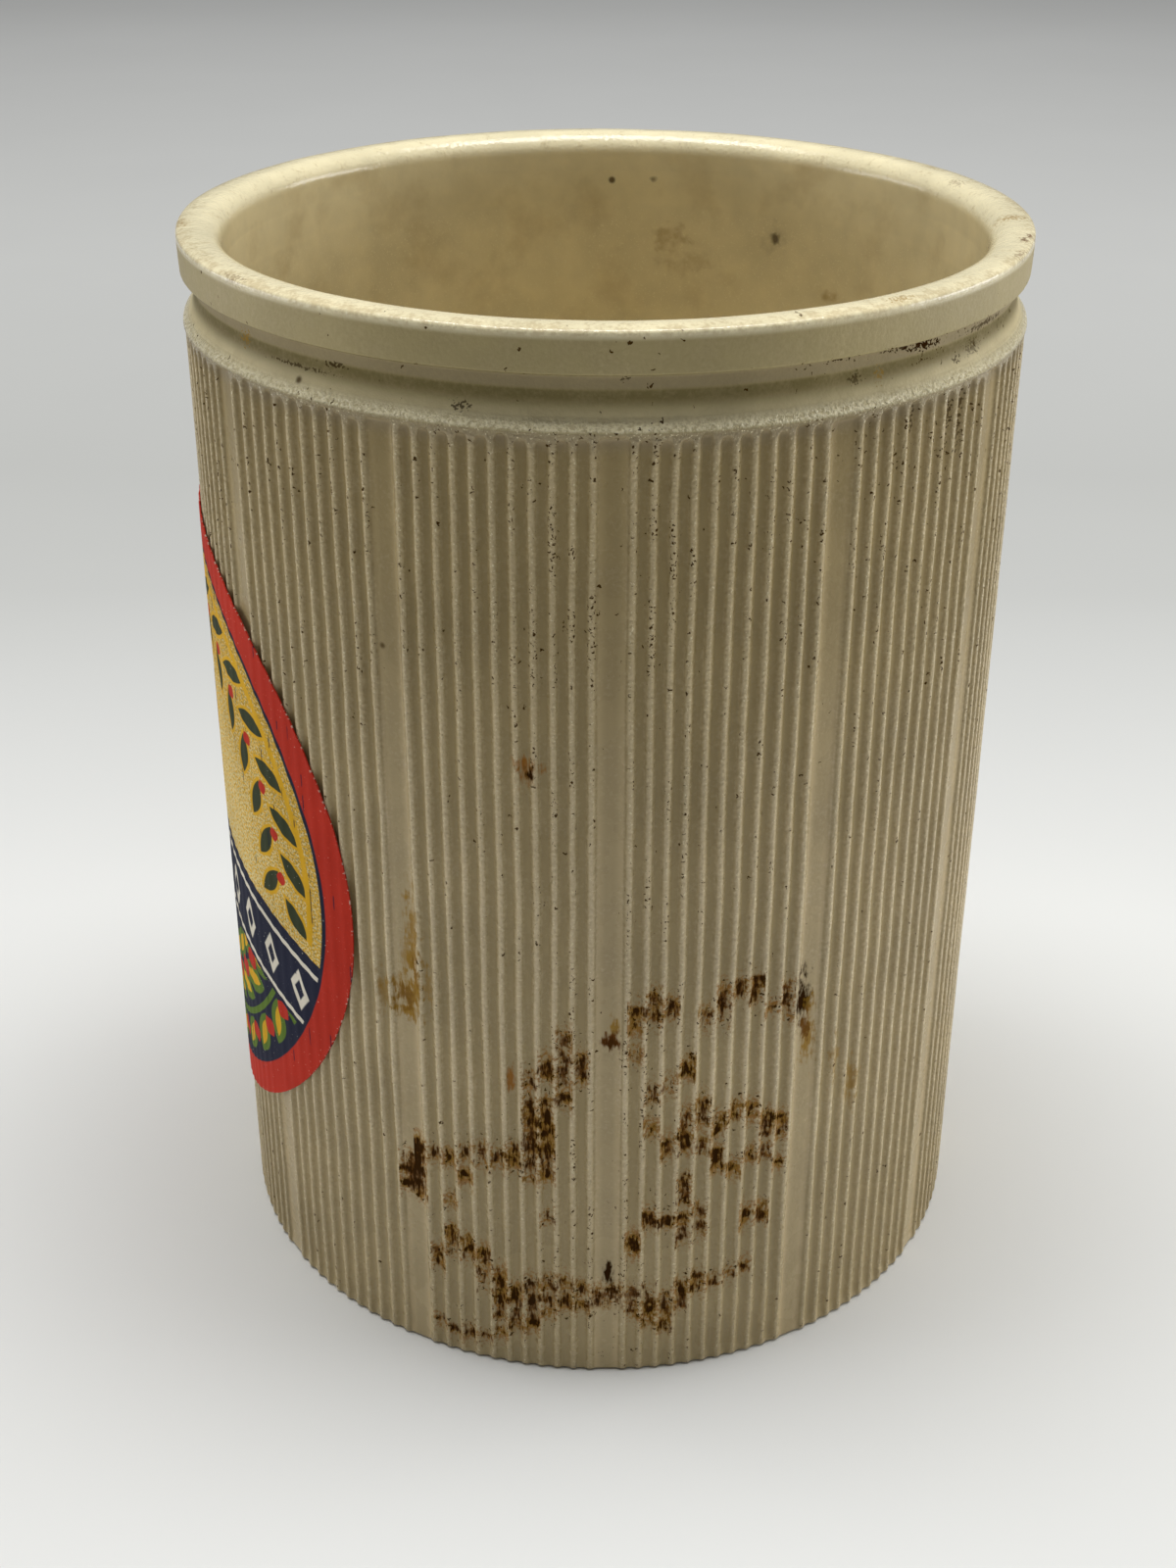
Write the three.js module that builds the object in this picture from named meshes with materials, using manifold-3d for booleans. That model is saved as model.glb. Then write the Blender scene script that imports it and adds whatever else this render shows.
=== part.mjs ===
import * as THREE from 'three';
import { mergeVertices } from 'three/addons/utils/BufferGeometryUtils.js';
import Module from 'manifold-3d';

// Stoneware jam jar: a straight pot with groups of fine upright ribs, a string groove under
// a heavy rolled rim, and an oval paper label pasted over the ribs on its left side.
// Millimetres, +Z up. The origin is the middle of the foot, on the table, and -Y is the front.

// Pot
const jarHeight = 106;
const ribCrestRadius = 39.02;
const wallThickness = 3.5;
const floorThickness = 5.5;
const floorCove = 6;
const footHeight = 1.2;
const footRingWidth = 2.6;

// Ribs, in groups with one rib left out between groups
const ribGroups = 12;
const ribsPerGroup = 11;
const ribDepth = 0.5;
const ribCrestWidth = 0.46;
const ribFootWidth = 1.0;
const ribRoot = 0.3;
const plainBandTurn = THREE.MathUtils.degToRad(1.2);
const spacingDrift = THREE.MathUtils.degToRad(2.4);

// Neck, from the tops of the flutes up to the rim's lower edge
const fluteTopDrop = 9.0;
const fluteRunOut = 0.8;
const skirtProud = 0.13;
const ridgeDrop = 7.75;
const ridgeRound = 0.3;
const grooveDepth = 1.2;
const grooveFloorDrop = 5.4;
const undercutRound = 0.5;

// Rim and lip
const rimProud = 0.12;
const rimFaceHeight = 3.85;
const rimTaper = 0.1;
const rimEdgeRound = 0.3;
const arrisRound = 0.35;
const crownRadius = 4.2;
const lipFlat = 0.4;
const lipRound = 2.15;

// Paper label
const labelWidth = 74;
const labelHeight = 66.6;
const labelMiddleHeight = 47.4;
const paperThickness = 0.2;
const pasteGap = 0.15;

// Facets
const roundSteps = 80;
const labelWallSteps = 120;
const labelEdgeSteps = 64;
const weldDistance = 1e-4;

// Sizes that follow from the ones above
const fluteRadius = ribCrestRadius - ribDepth;
const boreRadius = fluteRadius - wallThickness;
const coreRadius = fluteRadius - ribRoot;
const skirtRadius = ribCrestRadius + skirtProud;
const rimRadius = ribCrestRadius + rimProud;
const grooveRadius = rimRadius - grooveDepth;
const innerFloor = footHeight + floorThickness;
const fluteTop = jarHeight - fluteTopDrop;
const ridgeHeight = jarHeight - ridgeDrop;
const grooveFloorHeight = jarHeight - grooveFloorDrop;
const rimLowerEdge = jarHeight - rimFaceHeight;
const labelRadius = ribCrestRadius + pasteGap;

const { Manifold, Mesh } = await loadSolids();

async function loadSolids() {
  const library = await Module();
  library.setup();
  return library;
}

// A closed geometry as a solid: corners welded, and the slivers on a lathe's axis left out
function solid(geometry) {
  geometry.deleteAttribute('normal');
  geometry.deleteAttribute('uv');
  const welded = mergeVertices(geometry, weldDistance);
  const corners = welded.index.array;
  const triangles = [];
  for (let i = 0; i < corners.length; i += 3) {
    const [a, b, c] = corners.slice(i, i + 3);
    if (a !== b && b !== c && c !== a) triangles.push(a, b, c);
  }
  const mesh = new Mesh({
    numProp: 3,
    vertProperties: welded.attributes.position.array,
    triVerts: new Uint32Array(triangles),
  });
  return new Manifold(mesh);
}

function namedMesh(name, body, finish) {
  const { vertProperties, triVerts } = body.getMesh();
  const geometry = new THREE.BufferGeometry();
  geometry.setAttribute('position', new THREE.BufferAttribute(new Float32Array(vertProperties), 3));
  geometry.setIndex(new THREE.BufferAttribute(new Uint32Array(triVerts), 1));
  geometry.computeVertexNormals();
  const mesh = new THREE.Mesh(geometry, new THREE.MeshStandardMaterial(finish));
  mesh.name = name;
  return mesh;
}

// Turns a section of radius and height about the jar's axis
function revolve(section, steps) {
  return solid(new THREE.LatheGeometry(section, steps).rotateX(Math.PI / 2));
}

// Part of a circle or ellipse in the section, from one angle in degrees to another
function bend(radius, height, across, along, from, to, steps) {
  const { degToRad } = THREE.MathUtils;
  const curve = new THREE.EllipseCurve(
    radius, height, across, along, degToRad(from), degToRad(to), to < from,
  );
  return curve.getPoints(steps);
}

// Where the small round of the arris runs into the wide crown of the lip, as an angle from upright
function crownAngle() {
  const crownCentre = boreRadius + lipRound + lipFlat;
  const sine = (rimRadius - arrisRound - crownCentre) / (crownRadius - arrisRound);
  return THREE.MathUtils.radToDeg(Math.asin(sine));
}

// Underside and wall core, out over the flute ends to the shoulder ridge, in to the string groove
function neckSection() {
  const coveEdge = skirtRadius - ridgeRound;
  return [
    new THREE.Vector2(0, footHeight),
    new THREE.Vector2(coreRadius, footHeight),
    new THREE.Vector2(coreRadius, fluteTop - fluteRunOut),
    new THREE.Vector2(skirtRadius, fluteTop),
    ...bend(coveEdge, ridgeHeight - ridgeRound, ridgeRound, ridgeRound, 0, 90, 2),
    ...bend(
      coveEdge, grooveFloorHeight, coveEdge - grooveRadius, grooveFloorHeight - ridgeHeight, 270, 180, 4,
    ).slice(1),
    ...bend(
      grooveRadius + undercutRound, rimLowerEdge - undercutRound, undercutRound, undercutRound, 180, 90, 2,
    ),
  ];
}

// Rim face, arris and crown, over the rolled lip and down the bore to the floor of the jar
function rimSection() {
  const rimFoot = rimRadius - rimTaper - rimEdgeRound;
  const crownCentre = boreRadius + lipRound + lipFlat;
  const crown = crownAngle();
  const arrisHeight = jarHeight - crownRadius
    + (crownRadius - arrisRound) * Math.cos(THREE.MathUtils.degToRad(crown));
  return [
    ...bend(rimFoot, rimLowerEdge + rimEdgeRound, rimEdgeRound, rimEdgeRound, -90, 0, 2),
    ...bend(rimRadius - arrisRound, arrisHeight, arrisRound, arrisRound, 0, 90 - crown, 2),
    ...bend(crownCentre, jarHeight - crownRadius, crownRadius, crownRadius, 90 - crown, 90, 2).slice(1),
    ...bend(boreRadius + lipRound, jarHeight - lipRound, lipRound, lipRound, 90, 180, 4),
    ...bend(boreRadius - floorCove, innerFloor + floorCove, floorCove, floorCove, 0, -90, 4),
    new THREE.Vector2(0, innerFloor),
  ];
}

// A point of the wall, by its turn from the front towards +X
function wallPoint(radius, turn) {
  return new THREE.Vector2(radius * Math.sin(turn), -radius * Math.cos(turn));
}

// Outline of the ribbed wall. The ribs stand a little closer together towards the front.
function ribOutline() {
  const places = ribGroups * (ribsPerGroup + 1);
  const outline = new THREE.Shape();
  const points = [];
  for (let place = 0; place < places; place += 1) {
    if (place % (ribsPerGroup + 1) === 0) continue;
    const even = plainBandTurn + (place / places) * 2 * Math.PI;
    const turn = even - spacingDrift * Math.sin(even);
    const foot = ribFootWidth / 2 / fluteRadius;
    const crest = ribCrestWidth / 2 / ribCrestRadius;
    points.push(
      wallPoint(fluteRadius, turn - foot),
      wallPoint(ribCrestRadius, turn - crest),
      wallPoint(ribCrestRadius, turn + crest),
      wallPoint(fluteRadius, turn + foot),
    );
  }
  outline.setFromPoints(points);
  return outline;
}

// The ribbed sleeve stands on the table as the foot ring and ends inside the neck
function ribbedSleeve() {
  const outline = ribOutline();
  const inside = new THREE.Path();
  inside.absarc(0, 0, fluteRadius - footRingWidth, 0, 2 * Math.PI, true);
  outline.holes.push(inside);
  const sleeve = new THREE.ExtrudeGeometry(outline, {
    depth: fluteTop, bevelEnabled: false, curveSegments: roundSteps,
  });
  return solid(sleeve);
}

function stonewareJar() {
  const pot = revolve([...neckSection(), ...rimSection()], roundSteps);
  return namedMesh('stoneware_jar', pot.add(ribbedSleeve()), {
    color: 0xc9bd97, roughness: 0.35, metalness: 0,
  });
}

// The oval label wraps the wall, so its outline narrows as it turns away on either side
function paperLabel() {
  const sheet = [
    new THREE.Vector2(labelRadius, labelMiddleHeight - labelHeight),
    new THREE.Vector2(labelRadius + paperThickness, labelMiddleHeight - labelHeight),
    new THREE.Vector2(labelRadius + paperThickness, labelMiddleHeight + labelHeight),
    new THREE.Vector2(labelRadius, labelMiddleHeight + labelHeight),
    new THREE.Vector2(labelRadius, labelMiddleHeight - labelHeight),
  ];
  const oval = new THREE.EllipseCurve(0, labelMiddleHeight, labelWidth / 2, labelHeight / 2);
  const cut = oval.getPoints(labelEdgeSteps).slice(1).map(
    ({ x, y }) => new THREE.Vector2(labelRadius * Math.sin(x / labelRadius), y),
  );
  const cutter = new THREE.ExtrudeGeometry(new THREE.Shape(cut), {
    depth: 2 * labelRadius, bevelEnabled: false,
  });
  cutter.rotateX(Math.PI / 2).rotateZ(-Math.PI / 2);
  return namedMesh('paper_label', revolve(sheet, labelWallSteps).intersect(solid(cutter)), {
    color: 0xb8473a, roughness: 0.7, metalness: 0,
  });
}

const jar = new THREE.Group();
jar.add(stonewareJar(), paperLabel());

export default jar;
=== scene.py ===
import math

import bpy
import numpy as np
from mathutils import Euler, Matrix, Vector


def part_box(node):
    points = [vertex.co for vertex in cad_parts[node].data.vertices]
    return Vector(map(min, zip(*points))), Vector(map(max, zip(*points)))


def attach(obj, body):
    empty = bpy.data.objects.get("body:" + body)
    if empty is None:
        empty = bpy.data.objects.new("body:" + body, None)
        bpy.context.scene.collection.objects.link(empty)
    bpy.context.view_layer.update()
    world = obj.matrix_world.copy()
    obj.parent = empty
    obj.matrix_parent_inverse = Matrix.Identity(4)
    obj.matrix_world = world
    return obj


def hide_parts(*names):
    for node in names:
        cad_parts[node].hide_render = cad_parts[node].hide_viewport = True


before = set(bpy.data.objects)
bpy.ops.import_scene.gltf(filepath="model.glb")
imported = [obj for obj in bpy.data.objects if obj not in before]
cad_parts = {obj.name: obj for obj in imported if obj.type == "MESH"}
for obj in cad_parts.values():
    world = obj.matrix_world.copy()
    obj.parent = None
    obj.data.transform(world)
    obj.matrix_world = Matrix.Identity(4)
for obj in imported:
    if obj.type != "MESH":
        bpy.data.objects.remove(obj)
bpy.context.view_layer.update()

bl_info = {
    "name": "Stoneware Jam Jar",
    "version": (1, 0, 0),
    "blender": (4, 5, 0),
    "location": "3D View > Sidebar > Jam Jar",
    "description": "Ribbed stoneware jam jar with an oval paper label, on a plain pale floor",
    "category": "Object",
}

MM = 0.001
JAR_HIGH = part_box("stoneware_jar")[1]
LABEL_LOW, LABEL_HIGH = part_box("paper_label")

# Places round one pitch of the ribs where the wall has a column of points: crest, flanks and flute
PITCH_STEPS = (-0.36, -0.27, -0.2, -0.13, 0.0, 0.13, 0.2, 0.27, 0.36, 0.5)
# Turned parts have one column for this many columns of the ribbed wall
TURNED_STEP = 5
# Rows of points up the label, and the turns in degrees about its oval of the fine columns at its two ends
LABEL_ROWS = 37
LABEL_ENDS = (1.6, 3.2, 5.0, 7.0, 9.2, 11.4)
# Share of the label's half width up to which its columns follow the ribs
LABEL_RIBBED = 0.975
# Turn in degrees from one leaf of the label's sprigs to the next
LEAF_STEP = 11.0
# Turn of the label's middle from the front
LABEL_TURN = -math.pi / 2
# Half the side of the square floor, in metres
FLOOR_HALF = 3.0
# Strength of the right softbox against the left one
RIGHT_LAMP = 1.75
# Point on the jar's axis that the softboxes face
LAMP_AIM = (0.0, 0.0, 0.05)


def linear(colour):
    """An sRGB hex value as linear red, green and blue."""
    parts = [int(colour[i:i + 2], 16) / 255 for i in (0, 2, 4)]
    return tuple(c / 12.92 if c <= 0.04045 else ((c + 0.055) / 1.055) ** 2.4 for c in parts)


def length_size(name, value, description):
    """A length in millimetres as a property in metres."""
    return bpy.props.FloatProperty(
        name=name, description=description, default=value * MM, min=0.0, precision=5,
        subtype="DISTANCE", unit="LENGTH",
    )


def angle_size(name, degrees, description):
    """An angle in degrees as a property in radians."""
    return bpy.props.FloatProperty(
        name=name, description=description, default=math.radians(degrees), subtype="ANGLE", unit="ROTATION",
    )


def colour_choice(name, value, description):
    """A colour as a property, from its sRGB hex value."""
    return bpy.props.FloatVectorProperty(
        name=name, description=description, default=linear(value), min=0.0, max=1.0,
        size=3, subtype="COLOR",
    )


class JarShape(bpy.types.PropertyGroup):
    """Sizes of the pot, its ribs, neck and rim."""

    height: length_size("Height", JAR_HIGH.z / MM, "Height of the jar over the lip")
    crest_radius: length_size("Rib radius", 39.02, "Radius over the crests of the ribs")
    wall: length_size("Wall", 3.5, "Thickness of the wall behind the flutes")
    floor: length_size("Floor", 5.5, "Thickness of the floor")
    floor_cove: length_size("Floor cove", 6.0, "Round between the bore and the floor")
    foot_height: length_size("Foot height", 1.2, "Height of the foot ring over the hollow under the jar")
    foot_width: length_size("Foot width", 2.6, "Width of the foot ring inside the flutes")
    groups: bpy.props.IntProperty(
        name="Rib groups", description="Groups of ribs round the jar", default=12, min=1,
    )
    group_places: bpy.props.IntProperty(
        name="Places in a group", description="Rib places in a group, of which the first is plain",
        default=12, min=2,
    )
    band_turn: angle_size("Band turn", 1.2, "Turn of the first plain band from the front")
    drift: angle_size("Spacing drift", 2.4, "How far the ribs crowd towards the front")
    flute_depth: length_size("Flute depth", 0.4, "Depth of the flutes between the ribs")
    crest_width: length_size("Crest width", 0.12, "Width of the flat on a rib's crest")
    rib_width: length_size("Rib width", 1.25, "Width of a rib at its foot")
    flute_top: length_size("Flute top", 97.45, "Height of the round ends of the flutes")
    run_out: length_size("Run-out", 0.6, "Height over which a flute ends")
    ridge_height: length_size("Ridge height", 98.25, "Height of the ridge under the string groove")
    skirt_proud: length_size("Skirt", 0.13, "How far the skirt stands proud of the ribs")
    groove_height: length_size("Groove height", 100.6, "Height of the floor of the string groove")
    groove_depth: length_size("Groove depth", 1.2, "Depth of the string groove behind the rim")
    rim_height: length_size("Rim height", 3.85, "Height of the rim over its lower edge")
    rim_proud: length_size("Rim", 0.12, "How far the rim stands proud of the ribs")
    crown_radius: length_size("Crown radius", 4.2, "Radius of the lip's crown")
    lip_flat: length_size("Lip flat", 0.4, "Flat on top of the lip")
    lip_round: length_size("Lip round", 2.15, "Round of the lip into the bore")
    wobble: length_size("Wobble", 0.09, "Unevenness of the hand-finished pot")


class JarFinish(bpy.types.PropertyGroup):
    """Colours of the glaze, of what stains it, and of painted shade in the flutes, groove, skirt and
    undercut.
    """

    crest: colour_choice("Crests", "c8b58b", "Glaze where it is worn clean on the ribs")
    # Flutes darker for thick glaze and partly as painted shade
    flute: colour_choice("Flutes", "907d50", "Glaze in the flutes, where it lies thick and dull")
    neck: colour_choice("Neck", "a99a6d", "Glaze of the neck and the rim's face")
    # Also paints the highlights on the ridge and the crests
    lip: colour_choice("Lip", "f2e7c0", "Clean glaze of the lip and ridge")
    # Also paints the light on the shelf over the ridge
    bore: colour_choice("Bore", "e8daaf", "Glaze inside the jar")
    body: colour_choice("Bare body", "b7a787", "Unglazed stoneware of the foot ring")
    speck: colour_choice("Specks", "432a04", "Pinholes and iron specks")
    # Grime and painted shade in the string groove and under the rim
    grime_and_shade: colour_choice("Grime", "574d28", "Dirt in the string groove")
    # Dust and painted shade under the rim and round the skirt
    dust_and_shade: colour_choice("Dust", "97896f", "Grey bloom under the rim and round the skirt")
    stain: colour_choice("Stain", "331f0c", "Dark residue in the flutes")
    brown: colour_choice("Brown", "67401c", "Brown edge of the residue")
    rust: colour_choice("Rust", "9a641a", "Rust specks round the residue")
    ochre: colour_choice("Ochre", "9c7622", "Yellow-brown stains")


class LabelShape(bpy.types.PropertyGroup):
    """Sizes and colours of the printed paper."""

    width: length_size("Width", 74.0, "Width of the oval, measured round the wall")
    height: length_size("Height", (LABEL_HIGH.z - LABEL_LOW.z) / MM, "Height of the oval")
    middle: length_size("Middle", (LABEL_HIGH.z + LABEL_LOW.z) / 2 / MM, "Height of the oval's middle")
    paper: length_size("Paper", 0.13, "Thickness of the paper")
    lift: length_size("Lift", 0.1, "Height of the paper over the rib crests")
    sag: length_size("Sag", 0.05, "How far the paper sinks into the flutes")
    border: length_size("Border", 3.4, "Width of the red border")
    red: colour_choice("Red", "c03322", "Border ink")
    navy: colour_choice("Navy", "23263a", "Dark ink")
    gold: colour_choice("Gold", "dfac24", "Yellow ink")
    cream: colour_choice("Cream", "e3cf93", "Tint of the field")
    green: colour_choice("Green", "5f7a2c", "Leaf ink of the lower part")
    leaf: colour_choice("Dark leaf", "39402a", "Leaf ink of the garland")
    paper_white: colour_choice("Paper white", "e4ddcc", "Bare aged paper")


class StageLook(bpy.types.PropertyGroup):
    """Floor, lamps and camera."""

    floor: colour_choice("Floor", "dedfdd", "Pale matt floor")
    # Painted shade on the floor behind the jar
    floor_back_shade: colour_choice("Floor at the back", "b9bab7", "Floor behind the jar")
    top_power: bpy.props.FloatProperty(
        name="Top lamp", description="Power of the softbox over the jar", default=12.8, min=0.0, unit="POWER",
    )
    side_power: bpy.props.FloatProperty(
        name="Side lamps", description="Power of the left side softbox", default=1.0, min=0.0, unit="POWER",
    )
    room: bpy.props.FloatProperty(
        name="Room", description="Strength of the even light of the room", default=0.12, min=0.0,
    )
    camera_back: length_size("Camera distance", 193.1, "Distance of the camera in front of the jar's axis")
    camera_height: length_size("Camera height", 149.9, "Height of the camera over the floor")
    camera_pitch: angle_size("Camera pitch", 28.35, "How far the camera looks down")
    camera_turn: angle_size("Camera turn", 0.43, "How far the camera turns to its left")
    camera_roll: angle_size("Camera roll", 0.14, "How far the camera leans to its left")
    camera_focal: bpy.props.FloatProperty(
        name="Focal length", description="Lens in millimetres, on a 36 mm long side", default=47.44, min=1.0,
    )


def add(tree, kind, links=None, out=0, curve=None, **settings):
    """Adds a node, sets or links its inputs by name or number, and gives one of its outputs.

    The kind of a shader node goes without its prefix.
    """
    whole = kind.startswith(("Geometry", "Function", "NodeGroup"))
    node = tree.nodes.new(kind if whole else "ShaderNode" + kind)
    for name, value in settings.items():
        setattr(node, name, value)
    for key, value in (links or {}).items():
        if isinstance(value, bpy.types.NodeSocket):
            tree.links.new(value, node.inputs[key])
        else:
            node.inputs[key].default_value = value
    if curve:
        points = node.mapping.curves[0].points
        points[0].location, points[-1].location = curve[0], curve[-1]
        for x, y in curve[1:-1]:
            points.new(x, y)
        for point in points:
            point.handle_type = "VECTOR"
        node.mapping.update()
    return node.outputs[out] if node.outputs else node


def paint(colour):
    """A colour property as a shader socket's value."""
    return (*colour, 1.0)


def new_material(name):
    """An empty material and its node tree."""
    material = bpy.data.materials.new(name)
    material.use_nodes = True
    material.node_tree.nodes.clear()
    return material, material.node_tree


def place_count(shape):
    """Rib places round the whole jar."""
    return shape.groups * shape.group_places


def rib_columns(shape):
    """Rib places of all the columns of points round the wall, in no order."""
    return (np.arange(place_count(shape))[:, None] + np.array(PITCH_STEPS)[None, :]).ravel()


def turn_of(shape, place):
    """Turn from the front of a rib place, as the ribs stand a little closer together there."""
    even = shape.band_turn + place / place_count(shape) * 2 * math.pi
    return even - shape.drift * np.sin(even)


def bend(kind, radius, height, across, along, start, end, steps):
    """Part of an ellipse in the section, from one angle in degrees to another, as rows of one kind."""
    angles = np.radians(np.linspace(start, end, steps + 1))
    return [(radius + across * math.cos(a), height + along * math.sin(a), kind) for a in angles]


def pressed_ribs():
    """Geometry Nodes that press flutes in groups into a turned wall, with round ends at the top.

    Points carry rib_place, their place among the ribs, and ribbed, which is 1 on the wall and 0 elsewhere.
    """
    tree = bpy.data.node_groups.new("pressed_ribs", "GeometryNodeTree")
    tree.interface.new_socket("Geometry", in_out="INPUT", socket_type="NodeSocketGeometry")
    for name in (
        "Pitch", "Depth", "Crest width", "Rib width", "Top", "Run-out", "Wobble", "Wobble size", "Wander",
    ):
        tree.interface.new_socket(name, in_out="INPUT", socket_type="NodeSocketFloat")
    for name in ("Group", "Places", "Seed"):
        tree.interface.new_socket(name, in_out="INPUT", socket_type="NodeSocketInt")
    for name in ("Material", "Foot material"):
        tree.interface.new_socket(name, in_out="INPUT", socket_type="NodeSocketMaterial")
    tree.interface.new_socket("Geometry", in_out="OUTPUT", socket_type="NodeSocketGeometry")
    given = tree.nodes.new("NodeGroupInput").outputs

    # Distance from the nearest rib, which is one place further in a plain band. The ribs wander a little.
    place = add(tree, "GeometryNodeInputNamedAttribute", {"Name": "rib_place"}, data_type="FLOAT")
    position = add(tree, "GeometryNodeInputPosition")
    height = add(tree, "SeparateXYZ", {0: position}, out=2)
    wander = add(tree, "TexNoise", {"Vector": position, "Scale": 160.0, "Detail": 1.0}, noise_dimensions="3D")
    wander = add(tree, "Math", {0: wander, 1: 0.5}, operation="SUBTRACT")
    place = add(tree, "Math", {0: wander, 1: given["Wander"], 2: place}, operation="MULTIPLY_ADD")
    ribbed = add(tree, "GeometryNodeInputNamedAttribute", {"Name": "ribbed"}, data_type="FLOAT")
    nearest = add(tree, "Math", {0: place}, operation="ROUND")
    off = add(tree, "Math", {0: place, 1: nearest}, operation="SUBTRACT")
    off = add(tree, "Math", {0: off}, operation="ABSOLUTE")
    group_place = add(tree, "Math", {0: nearest, 1: given["Group"]}, operation="FLOORED_MODULO")
    plain = add(tree, "Math", {0: group_place, 1: 0.5}, operation="LESS_THAN")
    beyond = add(tree, "Math", {0: 1.0, 1: off}, operation="SUBTRACT")
    places = add(tree, "Mix", {0: plain, 2: off, 3: beyond}, data_type="FLOAT")
    away = add(tree, "Math", {0: places, 1: given["Pitch"]}, operation="MULTIPLY")

    # The flank falls from the crest to the floor of the flute, which is hollowed
    crest = add(tree, "Math", {0: given["Crest width"], 1: 0.5}, operation="MULTIPLY")
    foot = add(tree, "Math", {0: given["Rib width"], 1: 0.5}, operation="MULTIPLY")
    flank = add(
        tree, "MapRange", {"Value": away, "From Min": crest, "From Max": foot},
        interpolation_type="SMOOTHSTEP",
    )
    spread = add(tree, "Math", {0: plain, 1: 0.5, 2: 0.5}, operation="MULTIPLY_ADD")
    reach = add(tree, "Math", {0: spread, 1: given["Pitch"]}, operation="MULTIPLY")
    half_flute = add(tree, "Math", {0: given["Pitch"], 1: 0.5}, operation="MULTIPLY")
    rib_side = add(tree, "Math", {0: crest, 1: foot}, operation="ADD")
    corner = add(tree, "Math", {0: rib_side, 1: -0.5, 2: half_flute}, operation="MULTIPLY_ADD")
    to_middle = add(tree, "Math", {0: reach, 1: away}, operation="SUBTRACT")
    straight = add(tree, "Math", {0: reach, 1: half_flute}, operation="SUBTRACT")
    into_corner = add(tree, "Math", {0: to_middle, 1: straight}, operation="SUBTRACT")
    bent = add(tree, "Math", {0: into_corner, 1: corner}, operation="DIVIDE", use_clamp=True)
    bent = add(tree, "Math", {0: bent, 1: 2.0}, operation="POWER")
    hollow = add(tree, "Math", {0: bent, 1: -0.22, 2: 1.0}, operation="MULTIPLY_ADD")

    # Each flute ends in an arch, a little higher or lower than the next one
    upright = add(tree, "Math", {0: 1.0, 1: bent}, operation="SUBTRACT")
    upright = add(tree, "Math", {0: upright}, operation="SQRT")
    arch = add(tree, "Math", {0: upright, 1: 0.6, 2: -0.6}, operation="MULTIPLY_ADD")
    between = add(tree, "Math", {0: place}, operation="FLOOR")
    last = add(tree, "Math", {0: between, 1: 1.0}, operation="ADD")
    last = add(tree, "Math", {0: last, 1: given["Group"]}, operation="FLOORED_MODULO")
    last = add(tree, "Math", {0: last, 1: 0.5}, operation="LESS_THAN")
    between = add(tree, "Math", {0: between, 1: last}, operation="ADD")
    between = add(tree, "Math", {0: between, 1: given["Places"]}, operation="FLOORED_MODULO")
    uneven = add(
        tree, "FunctionNodeRandomValue", {2: -0.3 * MM, 3: 0.15 * MM, "ID": between, "Seed": given["Seed"]},
        out=1, data_type="FLOAT",
    )
    top = add(tree, "Math", {0: arch, 1: corner, 2: given["Top"]}, operation="MULTIPLY_ADD")
    top = add(tree, "Math", {0: top, 1: uneven}, operation="ADD")
    run = add(tree, "Math", {0: top, 1: given["Run-out"]}, operation="SUBTRACT")
    open_end = add(
        tree, "MapRange", {"Value": height, "From Min": top, "From Max": run},
        interpolation_type="SMOOTHSTEP",
    )
    flute = add(tree, "Math", {0: flank, 1: open_end}, operation="MULTIPLY")
    flute = add(tree, "Math", {0: flute, 1: ribbed}, operation="MULTIPLY")
    pressed = add(tree, "Math", {0: flute, 1: hollow}, operation="MULTIPLY")
    shallow = add(tree, "MapRange", {"Value": height, "From Max": 1.4 * MM, "To Min": 0.45, "To Max": 1.0})
    pressed = add(tree, "Math", {0: pressed, 1: shallow}, operation="MULTIPLY")

    # Points move towards the axis by the flute's depth, and everywhere by the wobble
    inward = add(tree, "VectorMath", {0: position, 1: (-1.0, -1.0, 0.0)}, operation="MULTIPLY")
    inward = add(tree, "VectorMath", {0: inward}, operation="NORMALIZE")
    depth = add(tree, "Math", {0: pressed, 1: given["Depth"]}, operation="MULTIPLY")
    inward = add(tree, "VectorMath", {0: inward, "Scale": depth}, operation="SCALE")
    density = add(tree, "Math", {0: 1.0, 1: given["Wobble size"]}, operation="DIVIDE")
    sway = add(tree, "TexNoise", {"Vector": position, "Scale": density, "Detail": 1.0}, out="Color")
    sway = add(tree, "VectorMath", {0: sway, 1: (0.5, 0.5, 0.5)}, operation="SUBTRACT")
    sway = add(tree, "VectorMath", {0: sway, "Scale": given["Wobble"]}, operation="SCALE")
    standing = add(tree, "MapRange", {"Value": height, "From Min": 0.5 * MM, "From Max": 4.0 * MM})
    sway = add(tree, "VectorMath", {0: sway, "Scale": standing}, operation="SCALE")
    moved = add(tree, "VectorMath", {0: inward, 1: sway}, operation="ADD")
    shaped = add(
        tree, "GeometryNodeStoreNamedAttribute",
        {"Geometry": given["Geometry"], "Name": "flute", "Value": flute},
        data_type="FLOAT", domain="POINT",
    )
    shaped = add(tree, "GeometryNodeSetPosition", {"Geometry": shaped, "Offset": moved})
    shaped = add(tree, "GeometryNodeRealizeInstances", {"Geometry": shaped})
    shaped = add(tree, "GeometryNodeSetMaterial", {"Geometry": shaped, "Material": given["Material"]})
    bare = add(tree, "GeometryNodeInputNamedAttribute", {"Name": "bare"}, data_type="BOOLEAN")
    shaped = add(
        tree, "GeometryNodeSetMaterial",
        {"Geometry": shaped, "Selection": bare, "Material": given["Foot material"]},
    )
    add(tree, "NodeGroupOutput", {0: shaped})
    return tree


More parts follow.
